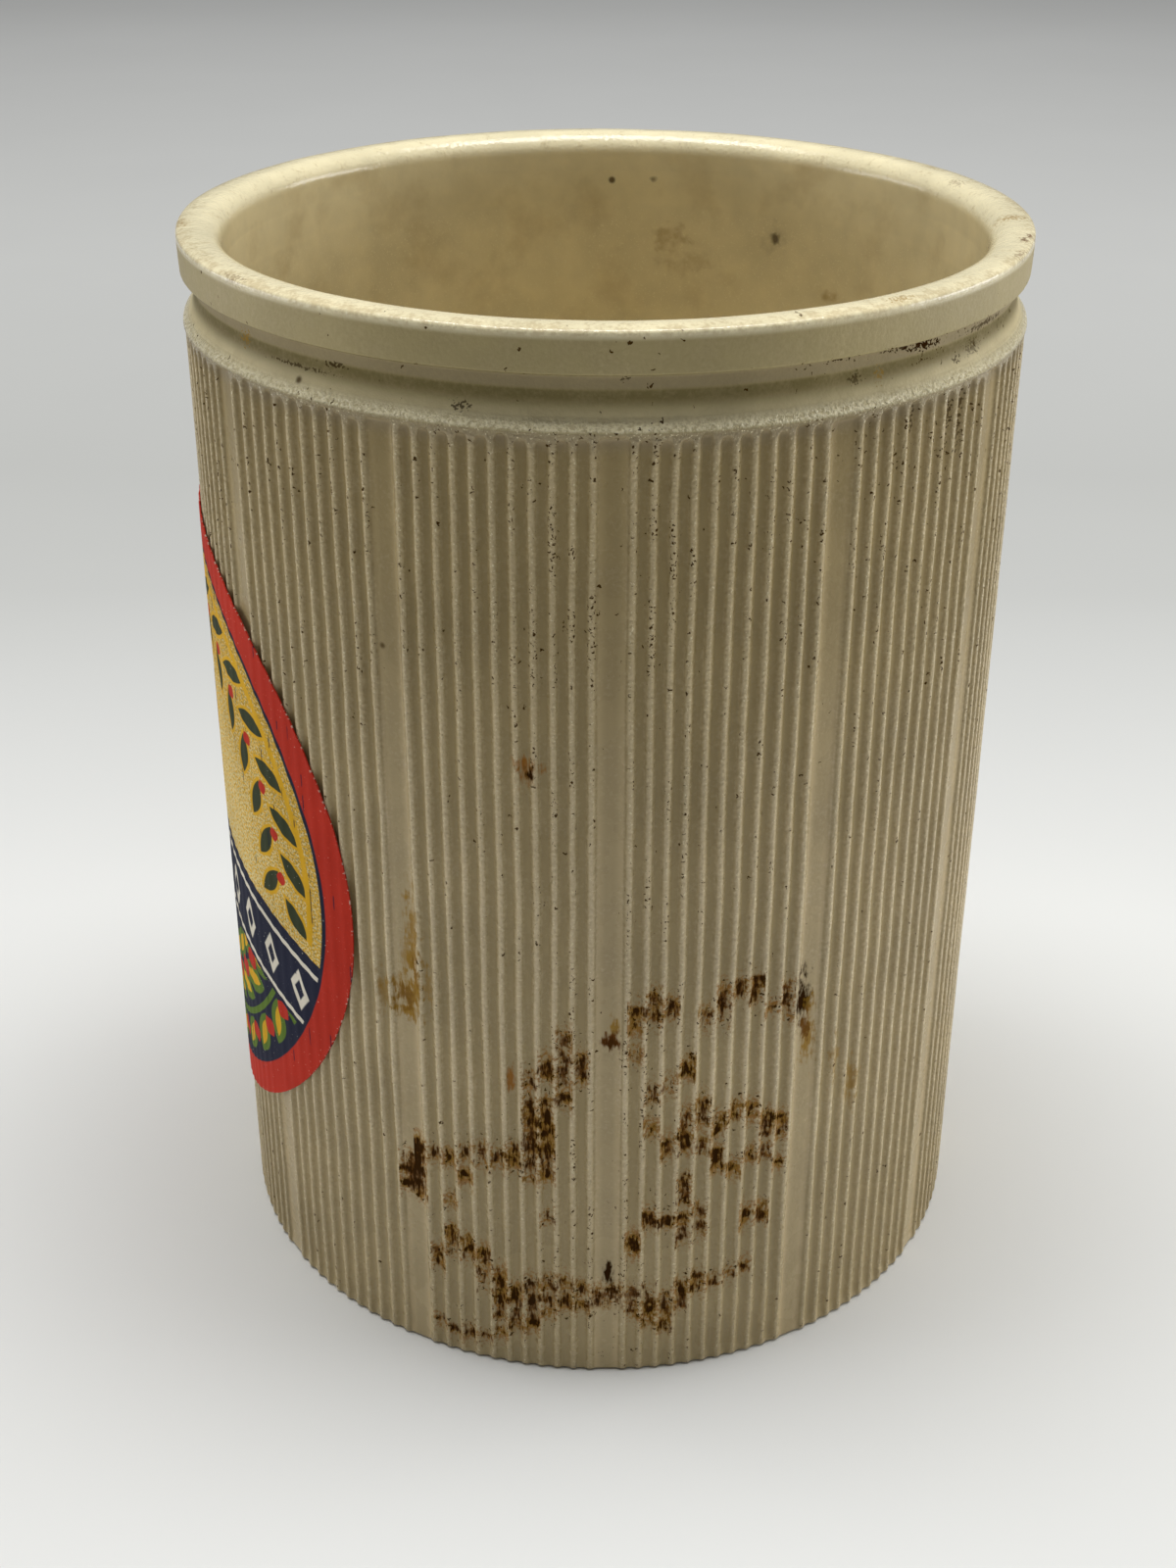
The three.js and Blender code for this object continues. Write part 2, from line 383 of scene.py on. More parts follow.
def press(name, mesh, tree, values):
    """Runs the rib tree on a mesh with these input values and gives the finished object."""
    rough = bpy.data.objects.new(name + "_rough", mesh)
    bpy.context.scene.collection.objects.link(rough)
    modifier = rough.modifiers.new("Ribs", "NODES")
    modifier.node_group = tree
    for socket in tree.interface.items_tree:
        if socket.in_out == "INPUT" and socket.name in values:
            modifier[socket.identifier] = values[socket.name]
    bpy.context.view_layer.update()
    depsgraph = bpy.context.evaluated_depsgraph_get()
    finished = bpy.data.meshes.new_from_object(
        rough.evaluated_get(depsgraph), preserve_all_data_layers=True, depsgraph=depsgraph,
    )
    rough.modifiers.clear()
    bpy.data.objects.remove(rough)
    finished.name = name
    if not len(finished.polygons):
        raise RuntimeError(f"{name} came out empty")
    piece = bpy.data.objects.new(name, finished)
    bpy.context.scene.collection.objects.link(piece)
    return piece


def wall_mesh(name, points, faces, floats, flags, uvs):
    """A smooth mesh with its point values, face flags and UV maps."""
    mesh = bpy.data.meshes.new(name)
    mesh.from_pydata(points, [], faces)
    for key, values in floats.items():
        mesh.attributes.new(key, "FLOAT", "POINT").data.foreach_set("value", np.asarray(values, np.float32))
    for key, values in flags.items():
        mesh.attributes.new(key, "BOOLEAN", "FACE").data.foreach_set("value", np.asarray(values, bool))
    for key, values in uvs.items():
        mesh.uv_layers.new(name=key).uv.foreach_set("vector", np.asarray(values, np.float32).ravel())
    mesh.polygons.foreach_set("use_smooth", np.ones(len(faces), bool))
    mesh.validate()
    mesh.update()
    return mesh


def jar_section(shape):
    """The jar's section, from the middle of its underside over the rim to the middle of its floor.

    Gives rows of radius, height and kind: foot, wall, neck, lip or bore.
    """
    crest = shape.crest_radius / MM
    flutes = crest - shape.flute_depth / MM
    bore = flutes - shape.wall / MM
    high = shape.height / MM
    foot = flutes - shape.foot_width / MM
    hollow = shape.foot_height / MM
    inner_floor = hollow + shape.floor / MM
    cove = shape.floor_cove / MM
    top = shape.flute_top / MM
    skirt = crest + shape.skirt_proud / MM
    ridge = shape.ridge_height / MM
    rim = crest + shape.rim_proud / MM
    groove = rim - shape.groove_depth / MM
    groove_height = shape.groove_height / MM
    rim_edge = high - shape.rim_height / MM
    crown = shape.crown_radius / MM
    lip = shape.lip_round / MM
    crown_middle = bore + lip + shape.lip_flat / MM
    # Rounds in mm, of the hollow, the foot, the ridge, the undercut, the rim's lower edge and the arris
    hollow_wide = 0.9
    hollow_tall = 0.6
    foot_inside = 0.35
    foot_outside = 0.5
    ridge_round = 0.7
    undercut = 0.5
    rim_round = 0.3
    arris = 0.35
    # How far the rim's face narrows towards its lower edge
    rim_taper = 0.1
    lean = math.degrees(math.asin((rim - arris - crown_middle) / (crown - arris)))
    arris_height = high - crown + (crown - arris) * math.cos(math.radians(lean))

    rows = [(r, hollow, "foot") for r in (0.0, 6.0, 14.0, 22.0, 30.0)]
    rows += bend("foot", foot - hollow_wide, hollow - hollow_tall, hollow_wide, hollow_tall, 90, 0, 5)
    rows += bend("foot", foot + foot_inside, foot_inside, foot_inside, foot_inside, 180, 270, 4)
    rows += bend("wall", crest - foot_outside, foot_outside, foot_outside, foot_outside, 270, 360, 4)
    rows += [(crest, z, "wall") for z in (1.0, 1.6, *np.linspace(3.0, 94.4, 28))]
    rows += [(crest, top - d, "wall") for d in (1.9, 1.5, 1.2, 0.95, 0.75, 0.6, 0.48, 0.36, 0.24, 0.12)]
    rows += [(crest + 0.04, top, "wall"), (crest + 0.1, top + 0.05, "wall")]
    rows += bend("neck", skirt - ridge_round, ridge - ridge_round, ridge_round, ridge_round, 0, 40, 6)
    # The cove of the groove sweeps down and out into the roll of the ridge
    sweep = math.radians(52)
    deep = (rows[-1][0] - groove) / (1 - math.cos(sweep))
    tall = (groove_height - rows[-1][1]) / math.sin(sweep)
    rows += bend("neck", groove + deep, groove_height, deep, tall, 227, 180, 11)
    rows += bend("neck", groove + undercut, rim_edge - undercut, undercut, undercut, 180, 90, 6)
    rows += bend("neck", rim - rim_taper - rim_round, rim_edge + rim_round, rim_round, rim_round, -90, 0, 6)
    rows += [(rim - 0.06, rim_edge + 1.2, "neck"), (rim - 0.02, rim_edge + 2.4, "neck")]
    rows += bend("neck", rim - arris, arris_height, arris, arris, 0, 90 - lean, 5)
    rows += bend("lip", crown_middle, high - crown, crown, crown, 90 - lean, 90, 5)[1:]
    rows += bend("lip", bore + lip, high - lip, lip, lip, 90, 180, 12)
    rows += [(bore, z, "bore") for z in range(100, 14, -6)]
    rows += bend("bore", bore - cove, inner_floor + cove, cove, cove, 0, -90, 9)
    rows += [(r, inner_floor, "bore") for r in (24.0, 18.0, 12.0, 6.0, 0.0)]
    return rows


def jar_mesh(shape):
    """The pot before its ribs are pressed: rows of points turned about the axis, finer on the wall."""
    count = place_count(shape)
    fine = np.sort(rib_columns(shape) % count)
    rows = jar_section(shape)
    inside_from = next(i for i, row in enumerate(rows) if row[2] == "bore")
    lip_rows = [i for i, row in enumerate(rows) if row[2] == "lip"]
    points, faces, uvs, bare = [], [], [], []
    floats = {"rib_place": [], "ribbed": [], "inside": []}
    rings = []
    for number, (radius, height, kind) in enumerate(rows):
        places = fine if kind == "wall" else fine[::TURNED_STEP]
        places = places[:1] if radius == 0 else places
        turns = turn_of(shape, places)
        rings.append((len(points), places, kind, height))
        points += [(radius * MM * math.sin(t), -radius * MM * math.cos(t), height * MM) for t in turns]
        if kind == "lip":
            inside = (number - lip_rows[0]) / (len(lip_rows) - 1)
        else:
            inside = 1.0 if number >= inside_from else 0.0
        floats["rib_place"] += list(places)
        floats["ribbed"] += [float(kind == "wall")] * len(places)
        floats["inside"] += [inside] * len(places)

    for (low, low_places, kind, low_height), (high, high_places, _, high_height) in zip(rings, rings[1:]):
        wide, narrow = len(low_places), len(high_places)
        for lower, upper in ring_cells(wide, narrow):
            face = [low + i % wide for i in lower] + [high + i % narrow for i in reversed(upper)]
            faces.append(face)
            bare.append(kind == "foot" and low_height < 0.05 and high_height < 0.05)
            for i in lower:
                uvs.append((low_places[i % wide] + count * (i >= wide > 1), low_height))
            for i in reversed(upper):
                uvs.append((high_places[i % narrow] + count * (i >= narrow > 1), high_height))
    return wall_mesh("stoneware_jar_turned", points, faces, floats, {"bare": bare}, {"wall": uvs})


def ring_cells(lower, upper):
    """Faces between two rings, as runs of places on each, where one may be finer or a single point."""
    if lower == 1:
        return [((0,), (i, i + 1)) for i in range(upper)]
    if upper == 1:
        return [((i, i + 1), (0,)) for i in range(lower)]
    coarse = min(lower, upper)
    below, above = lower // coarse, upper // coarse
    return [
        (tuple(range(i * below, (i + 1) * below + 1)), tuple(range(i * above, (i + 1) * above + 1)))
        for i in range(coarse)
    ]


def label_mesh(shape, label):
    """The oval of paper before it sinks into the flutes: columns on both faces, closed round the edge."""
    radius = shape.crest_radius + label.lift
    half_width, half_height = label.width / 2, label.height / 2
    ribs = np.sort(rib_columns(shape))
    spread = (turn_of(shape, ribs) - (LABEL_TURN + 2 * math.pi)) * radius
    inner = [(s, p) for s, p in zip(spread, ribs) if abs(s) < half_width * LABEL_RIBBED]
    ends = half_width * np.cos(np.radians(LABEL_ENDS))
    outer = [(s, float(np.interp(s, spread, ribs))) for s in (*-ends, *ends)]
    columns = sorted(inner + outer)
    levels = np.sin(np.linspace(-0.5, 0.5, LABEL_ROWS) * math.pi)
    points, wall_uv, print_uv, places = [], [], [], []
    for depth in (label.paper, 0.0):
        for s, place in columns:
            turn = s / radius + LABEL_TURN
            tall = half_height * math.sqrt(max(0.0, 1 - (s / half_width) ** 2))
            for level in levels:
                t = tall * level
                r = radius + depth
                points.append((r * math.sin(turn), -r * math.cos(turn), label.middle + t))
                wall_uv.append((place, (label.middle + t) / MM))
                print_uv.append((s / MM, t / MM))
                places.append(place)
    tall, wide = len(levels), len(columns)
    back = tall * wide
    faces = []
    for c in range(wide - 1):
        for row in range(tall - 1):
            a, b = c * tall + row, (c + 1) * tall + row
            faces += [(a, b, b + 1, a + 1), (back + a, back + a + 1, back + b + 1, back + b)]
        low, high = c * tall, c * tall + tall - 1
        faces.append((low, back + low, back + low + tall, low + tall))
        faces.append((high, high + tall, back + high + tall, back + high))
    for row in range(tall - 1):
        first, end = row, back - tall + row
        faces.append((first, first + 1, back + first + 1, back + first))
        faces.append((end, back + end, back + end + 1, end + 1))
    uvs = {
        "wall": [wall_uv[i] for f in faces for i in f],
        "print": [print_uv[i] for f in faces for i in f],
    }
    floats = {"rib_place": places, "ribbed": [1.0] * len(points)}
    return wall_mesh("paper_label_flat", points, faces, floats, {}, uvs)


# Residue at the front, in six rows of dabs. A dab lies in the flute right of a rib place, and its two numbers
# are its height and half its length, in mm.
RESIDUE = (
    {
        -13: (21.0, 2.2), -12: (22.0, 3.6), -11: (24.4, 0.5), -10: (24.4, 0.6), -9: (25.5, 0.8),
        -8: (25.6, 0.9), -7: (25.6, 0.7), -6: (26.3, 1.2), -5: (28.8, 5.0), -4: (28.4, 4.8), -3: (38.0, 3.0),
        -2: (37.4, 1.2), 1: (43.0, 1.4), 2: (43.2, 1.7), 3: (43.6, 1.0), 5: (42.2, 0.6), 6: (43.0, 2.0),
        7: (44.5, 0.9), 8: (44.2, 1.2), 9: (41.6, 0.4), 10: (42.4, 1.8),
    },
    {
        -5: (35.4, 0.9), -4: (36.9, 1.4), -3: (33.6, 0.6), 1: (39.0, 0.4), 2: (33.8, 0.9), 3: (34.9, 0.6),
        4: (36.7, 0.9), 5: (31.2, 1.5), 6: (29.5, 1.0), 7: (30.7, 0.7), 8: (30.2, 0.9), 9: (28.0, 1.4),
        10: (27.6, 1.3),
    },
    {
        -9: (22.4, 0.5), 2: (30.4, 0.5), 3: (27.4, 0.8), 4: (29.4, 2.4), 5: (27.2, 0.5), 6: (25.5, 1.1),
        7: (24.0, 0.7), 8: (25.0, 0.4), 9: (25.0, 1.0), 10: (23.0, 0.3),
    },
    {
        -10: (19.0, 0.4), -4: (19.2, 0.6), 2: (18.9, 0.9), 3: (18.6, 0.7), 4: (22.6, 1.7), 5: (16.7, 0.6),
        8: (17.4, 1.0), 9: (17.2, 1.2),
    },
    {
        -11: (2.9, 0.3), -10: (2.7, 0.3), -9: (2.8, 0.5), -8: (2.8, 0.3), -7: (2.9, 0.3), 1: (15.4, 1.3),
        4: (17.3, 1.8), 5: (19.4, 0.5),
    },
    {
        -11: (11.2, 1.2), -10: (14.3, 1.6), -9: (13.6, 1.2), -8: (11.6, 2.3), -7: (8.8, 3.1), -6: (7.4, 2.6),
        -5: (8.1, 3.1), -4: (9.3, 2.5), -3: (9.8, 1.9), -2: (9.4, 1.6), -1: (9.6, 0.9), 0: (9.7, 1.1),
        1: (8.8, 1.8), 2: (8.5, 2.4), 3: (7.6, 2.3), 4: (9.2, 1.7), 5: (10.5, 1.0), 6: (10.3, 0.5),
        7: (10.9, 0.5), 8: (10.8, 0.5),
    },
)
# Rib places left and right of the front that the rows of residue span
RESIDUE_SPAN = 14
# Height and half length in mm that the top of the rows' curves stands for
RESIDUE_TOP = 50.0
RESIDUE_LONG = 10.0
# What a flute without a dab has in a row
NO_DAB = (25.0, 0.0)

# Bands round the neck: the heights in mm where one begins, is full, fades and ends, its strength and colour.
# They are the rim and neck, the skirt darkened by dust and painted shade, the shelf paled as painted light,
# the groove darkened by grime and painted shade, the undercut greyed by dust and painted shade, and grime
# with painted shade in the crack under the rim.
NECK_BANDS = (
    (96.8, 97.6, 106.0, 107.0, 1.0, "neck"),
    # Dust and painted shade darken the skirt under the ridge
    (95.5, 97.1, 97.5, 97.75, 0.65, "dust_and_shade"),
    # Painted light: the shelf and ridge paled in the bore's colour
    (97.5, 98.4, 98.6, 100.2, 0.75, "bore"),
    # Grime and painted shade darken the string groove
    (98.9, 100.4, 100.6, 101.05, 0.62, "grime_and_shade"),
    # Dust and painted shade grey the undercut under the rim
    (100.7, 101.05, 101.8, 102.05, 0.65, "dust_and_shade"),
    (102.0, 102.12, 102.2, 102.35, 0.65, "grime_and_shade"),
)

# Single stains of the wall: rib place, height, half width in places, half height in mm, strength and colour
WALL_STAINS = (
    (-11.45, 48.6, 0.4, 4.2, 0.85, "ochre"),
    (-11.8, 46.6, 0.5, 1.8, 0.6, "ochre"),
    (-11.3, 44.0, 0.4, 2.4, 1.0, "ochre"),
    (-11.25, 44.6, 0.22, 1.6, 0.45, "brown"),
    (-11.95, 41.9, 0.95, 1.8, 0.95, "ochre"),
    (-11.7, 40.3, 0.9, 0.5, 0.8, "ochre"),
    (-12.1, 41.8, 0.5, 1.1, 0.55, "brown"),
    (-13.5, 41.6, 0.35, 1.8, 0.6, "ochre"),
    (-10.6, 43.4, 0.25, 1.4, 0.55, "ochre"),
    (-4.4, 67.6, 0.5, 1.2, 0.85, "rust"),
    (-4.9, 68.4, 0.3, 0.6, 0.7, "rust"),
    (-4.25, 67.3, 0.26, 0.6, 1.0, "stain"),
    (0.25, 41.5, 0.25, 0.9, 0.9, "ochre"),
    (0.15, 39.8, 0.42, 0.9, 1.0, "brown"),
    (0.1, 39.6, 0.25, 0.5, 0.6, "stain"),
    (-5.6, 35.0, 0.25, 1.2, 0.9, "rust"),
    (0.1, 12.2, 0.25, 1.3, 1.0, "stain"),
    (11.6, 41.6, 0.42, 2.6, 1.0, "stain"),
    (12.1, 37.0, 0.4, 2.8, 0.9, "ochre"),
    (11.9, 38.3, 0.3, 1.4, 0.8, "brown"),
    (14.2, 33.6, 0.3, 2.0, 0.6, "ochre"),
    (15.7, 29.4, 0.45, 2.2, 0.7, "ochre"),
)
# Crumbs of dirt round the neck
NECK_STAINS = (
    (-22.2, 100.6, 0.35, 0.5, 0.9, "ochre"),
    (-17.4, 99.8, 1.8, 0.14, 0.7, "stain"),
    (-15.0, 100.6, 0.6, 0.2, 0.8, "stain"),
    (-7.6, 99.1, 0.35, 0.3, 0.8, "stain"),
    (0.6, 101.9, 0.2, 0.2, 0.7, "stain"),
    (11.8, 101.95, 0.6, 0.22, 1.0, "stain"),
    (12.8, 100.1, 0.3, 0.4, 0.6, "stain"),
    (14.3, 99.9, 0.25, 0.5, 0.55, "ochre"),
    (14.6, 102.0, 0.3, 0.3, 0.8, "stain"),
    (17.4, 101.5, 1.1, 0.32, 1.0, "stain"),
    (16.0, 101.75, 0.8, 0.22, 0.9, "stain"),
    (20.4, 99.4, 0.3, 0.3, 0.7, "stain"),
    (22.2, 99.7, 0.6, 0.5, 0.5, "stain"),
    (23.6, 101.2, 1.8, 0.25, 0.7, "stain"),
    (16.4, 95.6, 0.16, 1.2, 0.7, "stain"),
    (19.5, 95.2, 0.2, 1.4, 0.75, "stain"),
    (20.5, 95.6, 0.2, 1.2, 0.7, "stain"),
    (20.6, 92.8, 0.15, 1.0, 0.6, "stain"),
    (19.4, 92.6, 0.15, 0.7, 0.7, "stain"),
)
# Spots in the bore
BORE_STAINS = (
    (68.3, 101.3, 0.22, 0.3, 0.6, "stain"),
    (67.0, 95.2, 0.9, 0.9, 0.4, "ochre"),
    (65.8, 92.6, 1.5, 0.8, 0.25, "ochre"),
    (59.5, 96.0, 0.7, 1.1, 0.2, "brown"),
    (59.5, 96.0, 0.28, 0.45, 0.75, "stain"),
    (55.0, 91.0, 0.4, 0.5, 0.5, "ochre"),
)
# Stains of the lip, by rib place and radius
LIP_STAINS = (
    (35.0, 37.3, 0.5, 1.2, 0.6, "ochre"),
    (30.0, 38.3, 0.4, 0.35, 0.8, "brown"),
    (31.0, 38.7, 0.3, 0.3, 0.8, "brown"),
    (27.0, 38.8, 0.6, 0.3, 0.5, "brown"),
    (15.3, 38.2, 0.6, 0.4, 0.6, "ochre"),
    (44.5, 36.5, 0.6, 0.4, 0.4, "brown"),
    (48.3, 37.7, 0.9, 0.3, 0.35, "ochre"),
    (-34.0, 38.6, 0.8, 0.5, 0.45, "ochre"),
    (-21.9, 38.8, 0.8, 0.3, 0.45, "brown"),
)


def stains(tree, colour, spots, finish, place, height, ragged, soft, where):
    """Lays spots with ragged edges over a colour, by rib place and height, where the mask allows."""
    for spot_place, spot_height, wide, tall, strength, tone in spots:
        sideways = add(tree, "Math", {0: place, 1: spot_place}, operation="SUBTRACT")
        upward = add(tree, "Math", {0: height, 1: spot_height}, operation="SUBTRACT")
        both = add(tree, "CombineXYZ", {0: sideways, 1: upward})
        both = add(tree, "VectorMath", {0: both, 1: (1 / wide, 1 / tall, 0.0)}, operation="MULTIPLY")
        far = add(tree, "VectorMath", {0: both}, out="Value", operation="LENGTH")
        far = add(tree, "Math", {0: ragged, 1: 1.1, 2: far}, operation="MULTIPLY_ADD")
        spot = add(
            tree, "MapRange", {"Value": far, "From Min": 1 + soft, "From Max": 1 - soft, "To Max": strength},
        )
        spot = add(tree, "Math", {0: spot, 1: where}, operation="MULTIPLY")
        colour = add(
            tree, "Mix", {0: spot, 6: colour, 7: paint(getattr(finish, tone))}, out=2, data_type="RGBA",
        )
    return colour


def residue_distance(tree, near, height):
    """Distance in mm up or down the wall from the nearest dab of residue, less than zero inside it."""
    number = add(tree, "Math", {0: near}, operation="FLOOR")
    along = add(
        tree, "MapRange", {"Value": number, "From Min": -RESIDUE_SPAN - 0.5, "From Max": RESIDUE_SPAN - 0.5},
    )
    nearest = None
    for row in RESIDUE:
        flutes = range(-RESIDUE_SPAN, RESIDUE_SPAN)
        dabs = [((f + RESIDUE_SPAN + 0.5) / (2 * RESIDUE_SPAN), *row.get(f, NO_DAB)) for f in flutes]
        level = add(tree, "FloatCurve", {1: along}, curve=[(x, z / RESIDUE_TOP) for x, z, _ in dabs])
        half = add(tree, "FloatCurve", {1: along}, curve=[(x, long / RESIDUE_LONG) for x, _, long in dabs])
        far = add(tree, "Math", {0: level, 1: -RESIDUE_TOP, 2: height}, operation="MULTIPLY_ADD")
        far = add(tree, "Math", {0: far}, operation="ABSOLUTE")
        far = add(tree, "Math", {0: half, 1: -RESIDUE_LONG, 2: far}, operation="MULTIPLY_ADD")
        none = add(tree, "Math", {0: half, 1: 0.015}, operation="LESS_THAN")
        far = add(tree, "Math", {0: none, 1: RESIDUE_TOP, 2: far}, operation="MULTIPLY_ADD")
        nearest = far if nearest is None else add(tree, "Math", {0: nearest, 1: far}, operation="MINIMUM")
    return nearest


def glazed_stoneware(shape, finish):
    """Cream-glazed stoneware, moulded with ribs: satin where it is worn, wet-looking on the lip and inside.

    The glaze is thin and pale on the crests and lies dull in the flutes, which are darkened partly as painted
    shade. It has pinholes and iron specks, dirt in the string groove, and dry brown residue in the flutes at
    the front. Painted shade darkens the skirt, the groove and the undercut, painted light pales the shelf and
    ridge, and painted highlights dot the crests and the ridge. Heights are in mm.
    """
    material, tree = new_material("glazed_stoneware")
    place_map = add(tree, "TexCoord", out="Object")
    mm = add(tree, "VectorMath", {0: place_map, "Scale": 1000.0}, operation="SCALE")
    rightward = add(tree, "SeparateXYZ", {0: mm}, out=0)
    height = add(tree, "SeparateXYZ", {0: mm}, out=2)
    wall = add(tree, "UVMap", uv_map="wall")
    place = add(tree, "SeparateXYZ", {0: wall}, out=0)
    # Rib places count both ways from the front
    places = place_count(shape)
    around = add(tree, "Math", {0: place, 1: places / 2}, operation="GREATER_THAN")
    near = add(tree, "Math", {0: around, 1: -places, 2: place}, operation="MULTIPLY_ADD")
    flute = add(tree, "Attribute", out="Fac", attribute_name="flute")
    inside = add(tree, "Attribute", out="Fac", attribute_name="inside")
    outside = add(
        tree, "MapRange", {"Value": inside, "From Min": 0.35, "From Max": 0.1},
        interpolation_type="SMOOTHSTEP",
    )
    in_bore = add(
        tree, "MapRange", {"Value": inside, "From Min": 0.75, "From Max": 1.0},
        interpolation_type="SMOOTHSTEP",
    )
    on_crown = add(
        tree, "MapRange", {"Value": height, "From Min": 104.9, "From Max": 105.6},
        interpolation_type="SMOOTHSTEP",
    )
    on_roll = add(tree, "MapRange", {"Value": inside, "From Min": 0.1, "From Max": 0.35})
    on_lip = add(tree, "Math", {0: on_crown, 1: on_roll}, operation="MAXIMUM")
    ridge = add(
        tree, "MapRange", {"Value": height, "From Min": 97.6, "From Max": 97.9},
        interpolation_type="SMOOTHSTEP",
    )
    flat = add(tree, "VectorMath", {0: mm, 1: (1.0, 1.0, 0.0)}, operation="MULTIPLY")
    radius = add(tree, "VectorMath", {0: flat}, out="Value", operation="LENGTH")
    above = add(tree, "MapRange", {"Value": height, "From Min": 98.75, "From Max": 98.25})
    for share in (above, outside):
        ridge = add(tree, "Math", {0: ridge, 1: share}, operation="MULTIPLY")

    # Clouds of 11 mm, mottle of 2.5 mm, blotches of 1.1 mm and grain of 0.35 mm
    cloud = add(tree, "TexNoise", {"Vector": mm, "Scale": 0.09, "Detail": 3.0})
    mottle = add(tree, "TexNoise", {"Vector": mm, "Scale": 0.4, "Detail": 3.0})
    blotch = add(tree, "TexNoise", {"Vector": mm, "Scale": 0.9, "Detail": 2.0})
    grain = add(tree, "TexNoise", {"Vector": mm, "Scale": 2.9, "Detail": 3.0, "Roughness": 0.6})

    # Pale crests with a grainy edge, dull flutes darkened partly as painted shade, the contrast less near the
    # foot
    thick = add(tree, "Math", {0: grain, 1: 0.9, 2: -0.45}, operation="MULTIPLY_ADD")
    thick = add(tree, "Math", {0: thick, 1: flute}, operation="ADD")
    thick = add(tree, "Math", {0: mottle, 1: 0.5, 2: thick}, operation="MULTIPLY_ADD")
    scuffed = add(tree, "MapRange", {"Value": height, "From Max": 30.0, "To Min": 0.45, "To Max": 0.15})
    faded = add(tree, "MapRange", {"Value": height, "From Max": 30.0, "To Min": 0.75, "To Max": 1.0})
    thick = add(
        tree, "MapRange",
        {"Value": thick, "From Min": 0.2, "From Max": 1.2, "To Min": scuffed, "To Max": faded},
    )
    thick = add(tree, "Math", {0: thick, 1: 0.15}, operation="SUBTRACT", use_clamp=True)
    colour = add(
        tree, "Mix", {0: thick, 6: paint(finish.crest), 7: paint(finish.flute)}, out=2, data_type="RGBA",
    )

    # The wall is paler and greyer halfway down, most of all on the plain bands between the groups of ribs
    paler = add(
        tree, "MapRange", {"Value": height, "From Min": 92.0, "From Max": 45.0},
        interpolation_type="SMOOTHSTEP",
    )
    lower = add(tree, "MapRange", {"Value": height, "From Min": 0.0, "From Max": 35.0, "To Min": 0.4})
    paler = add(tree, "Math", {0: paler, 1: lower}, operation="MULTIPLY")
    group = add(tree, "Math", {0: near, 1: shape.group_places}, operation="DIVIDE")
    from_band = add(tree, "Math", {0: group}, operation="ROUND")
    from_band = add(tree, "Math", {0: group, 1: from_band}, operation="SUBTRACT")
    from_band = add(tree, "Math", {0: from_band}, operation="ABSOLUTE")
    plain = add(tree, "MapRange", {"Value": from_band, "From Min": 0.064, "From Max": 0.056})
    sides = add(
        tree, "MapRange", {"Value": from_band, "From Min": 0.014, "From Max": 0.056},
        interpolation_type="SMOOTHSTEP",
    )
    sides = add(tree, "Math", {0: sides, 1: plain}, operation="MULTIPLY")
    washed = add(tree, "MapRange", {"Value": height, "From Min": 97.0, "From Max": 68.0})
    washed = add(tree, "Math", {0: washed, 1: lower}, operation="MULTIPLY")
    plain = add(tree, "Math", {0: plain, 1: washed}, operation="MULTIPLY")
    for mask, tint in ((paler, (1.2, 1.23, 1.39)), (plain, (1.16, 1.18, 1.3)), (sides, (1.22, 1.22, 1.24))):
        colour = add(
            tree, "Mix", {0: mask, 6: colour, 7: paint(tint)}, out=2, data_type="RGBA", blend_type="MULTIPLY",
        )

    # Glaze, dirt and dust in bands round the neck, with painted shade and painted light, a little uneven
    uneven = add(tree, "Math", {0: mottle, 1: grain}, operation="ADD")
    uneven = add(
        tree, "MapRange", {"Value": uneven, "From Min": 0.75, "From Max": 1.1, "To Min": 0.78, "To Max": 1.0},
    )
    for low, full, fade, high, strength, tone in NECK_BANDS:
        band = add(
            tree, "MapRange", {"Value": height, "From Min": low, "From Max": full},
            interpolation_type="SMOOTHSTEP",
        )
        fall = add(
            tree, "MapRange", {"Value": height, "From Min": high, "From Max": fade, "To Max": strength},
            interpolation_type="SMOOTHSTEP",
        )
        for share in (fall, outside, uneven):
            band = add(tree, "Math", {0: band, 1: share}, operation="MULTIPLY")
        colour = add(
            tree, "Mix", {0: band, 6: colour, 7: paint(getattr(finish, tone))}, out=2, data_type="RGBA",
        )

    # A ridge paled in the lip's colour with beads as painted highlights, a clean lip that is grainy and tan
    # along its arris, and a warmer bore
    painted_beads = add(tree, "MapRange", {"Value": grain, "From Min": 0.42, "From Max": 0.54, "To Min": 0.2})
    painted_beads = add(tree, "Math", {0: painted_beads, 1: ridge}, operation="MULTIPLY")
    arris = add(tree, "MapRange", {"Value": inside, "From Min": 0.3, "From Max": 0.02, "To Max": 0.12})
    worn = add(tree, "Math", {0: blotch, 1: grain}, operation="ADD")
    worn = add(tree, "Math", {0: worn, 1: 0.5, 2: arris}, operation="MULTIPLY_ADD")
    worn = add(tree, "MapRange", {"Value": worn, "From Min": 0.55, "From Max": 0.7, "To Max": 0.6})
    worn = add(tree, "Math", {0: worn, 1: on_lip}, operation="MULTIPLY")
    for mask, tone in (
        (painted_beads, finish.lip), (on_lip, finish.lip), (worn, finish.crest), (in_bore, finish.bore),
    ):
        colour = add(tree, "Mix", {0: mask, 6: colour, 7: paint(tone)}, out=2, data_type="RGBA")
    shade = add(tree, "Math", {0: mottle, 1: 0.5, 2: cloud}, operation="MULTIPLY_ADD")
    shade = add(
        tree, "MapRange", {"Value": shade, "From Min": 0.55, "From Max": 0.95, "To Min": 0.9, "To Max": 1.07},
    )
    colour = add(tree, "Mix", {0: 1.0, 6: colour, 7: shade}, out=2, data_type="RGBA", blend_type="MULTIPLY")
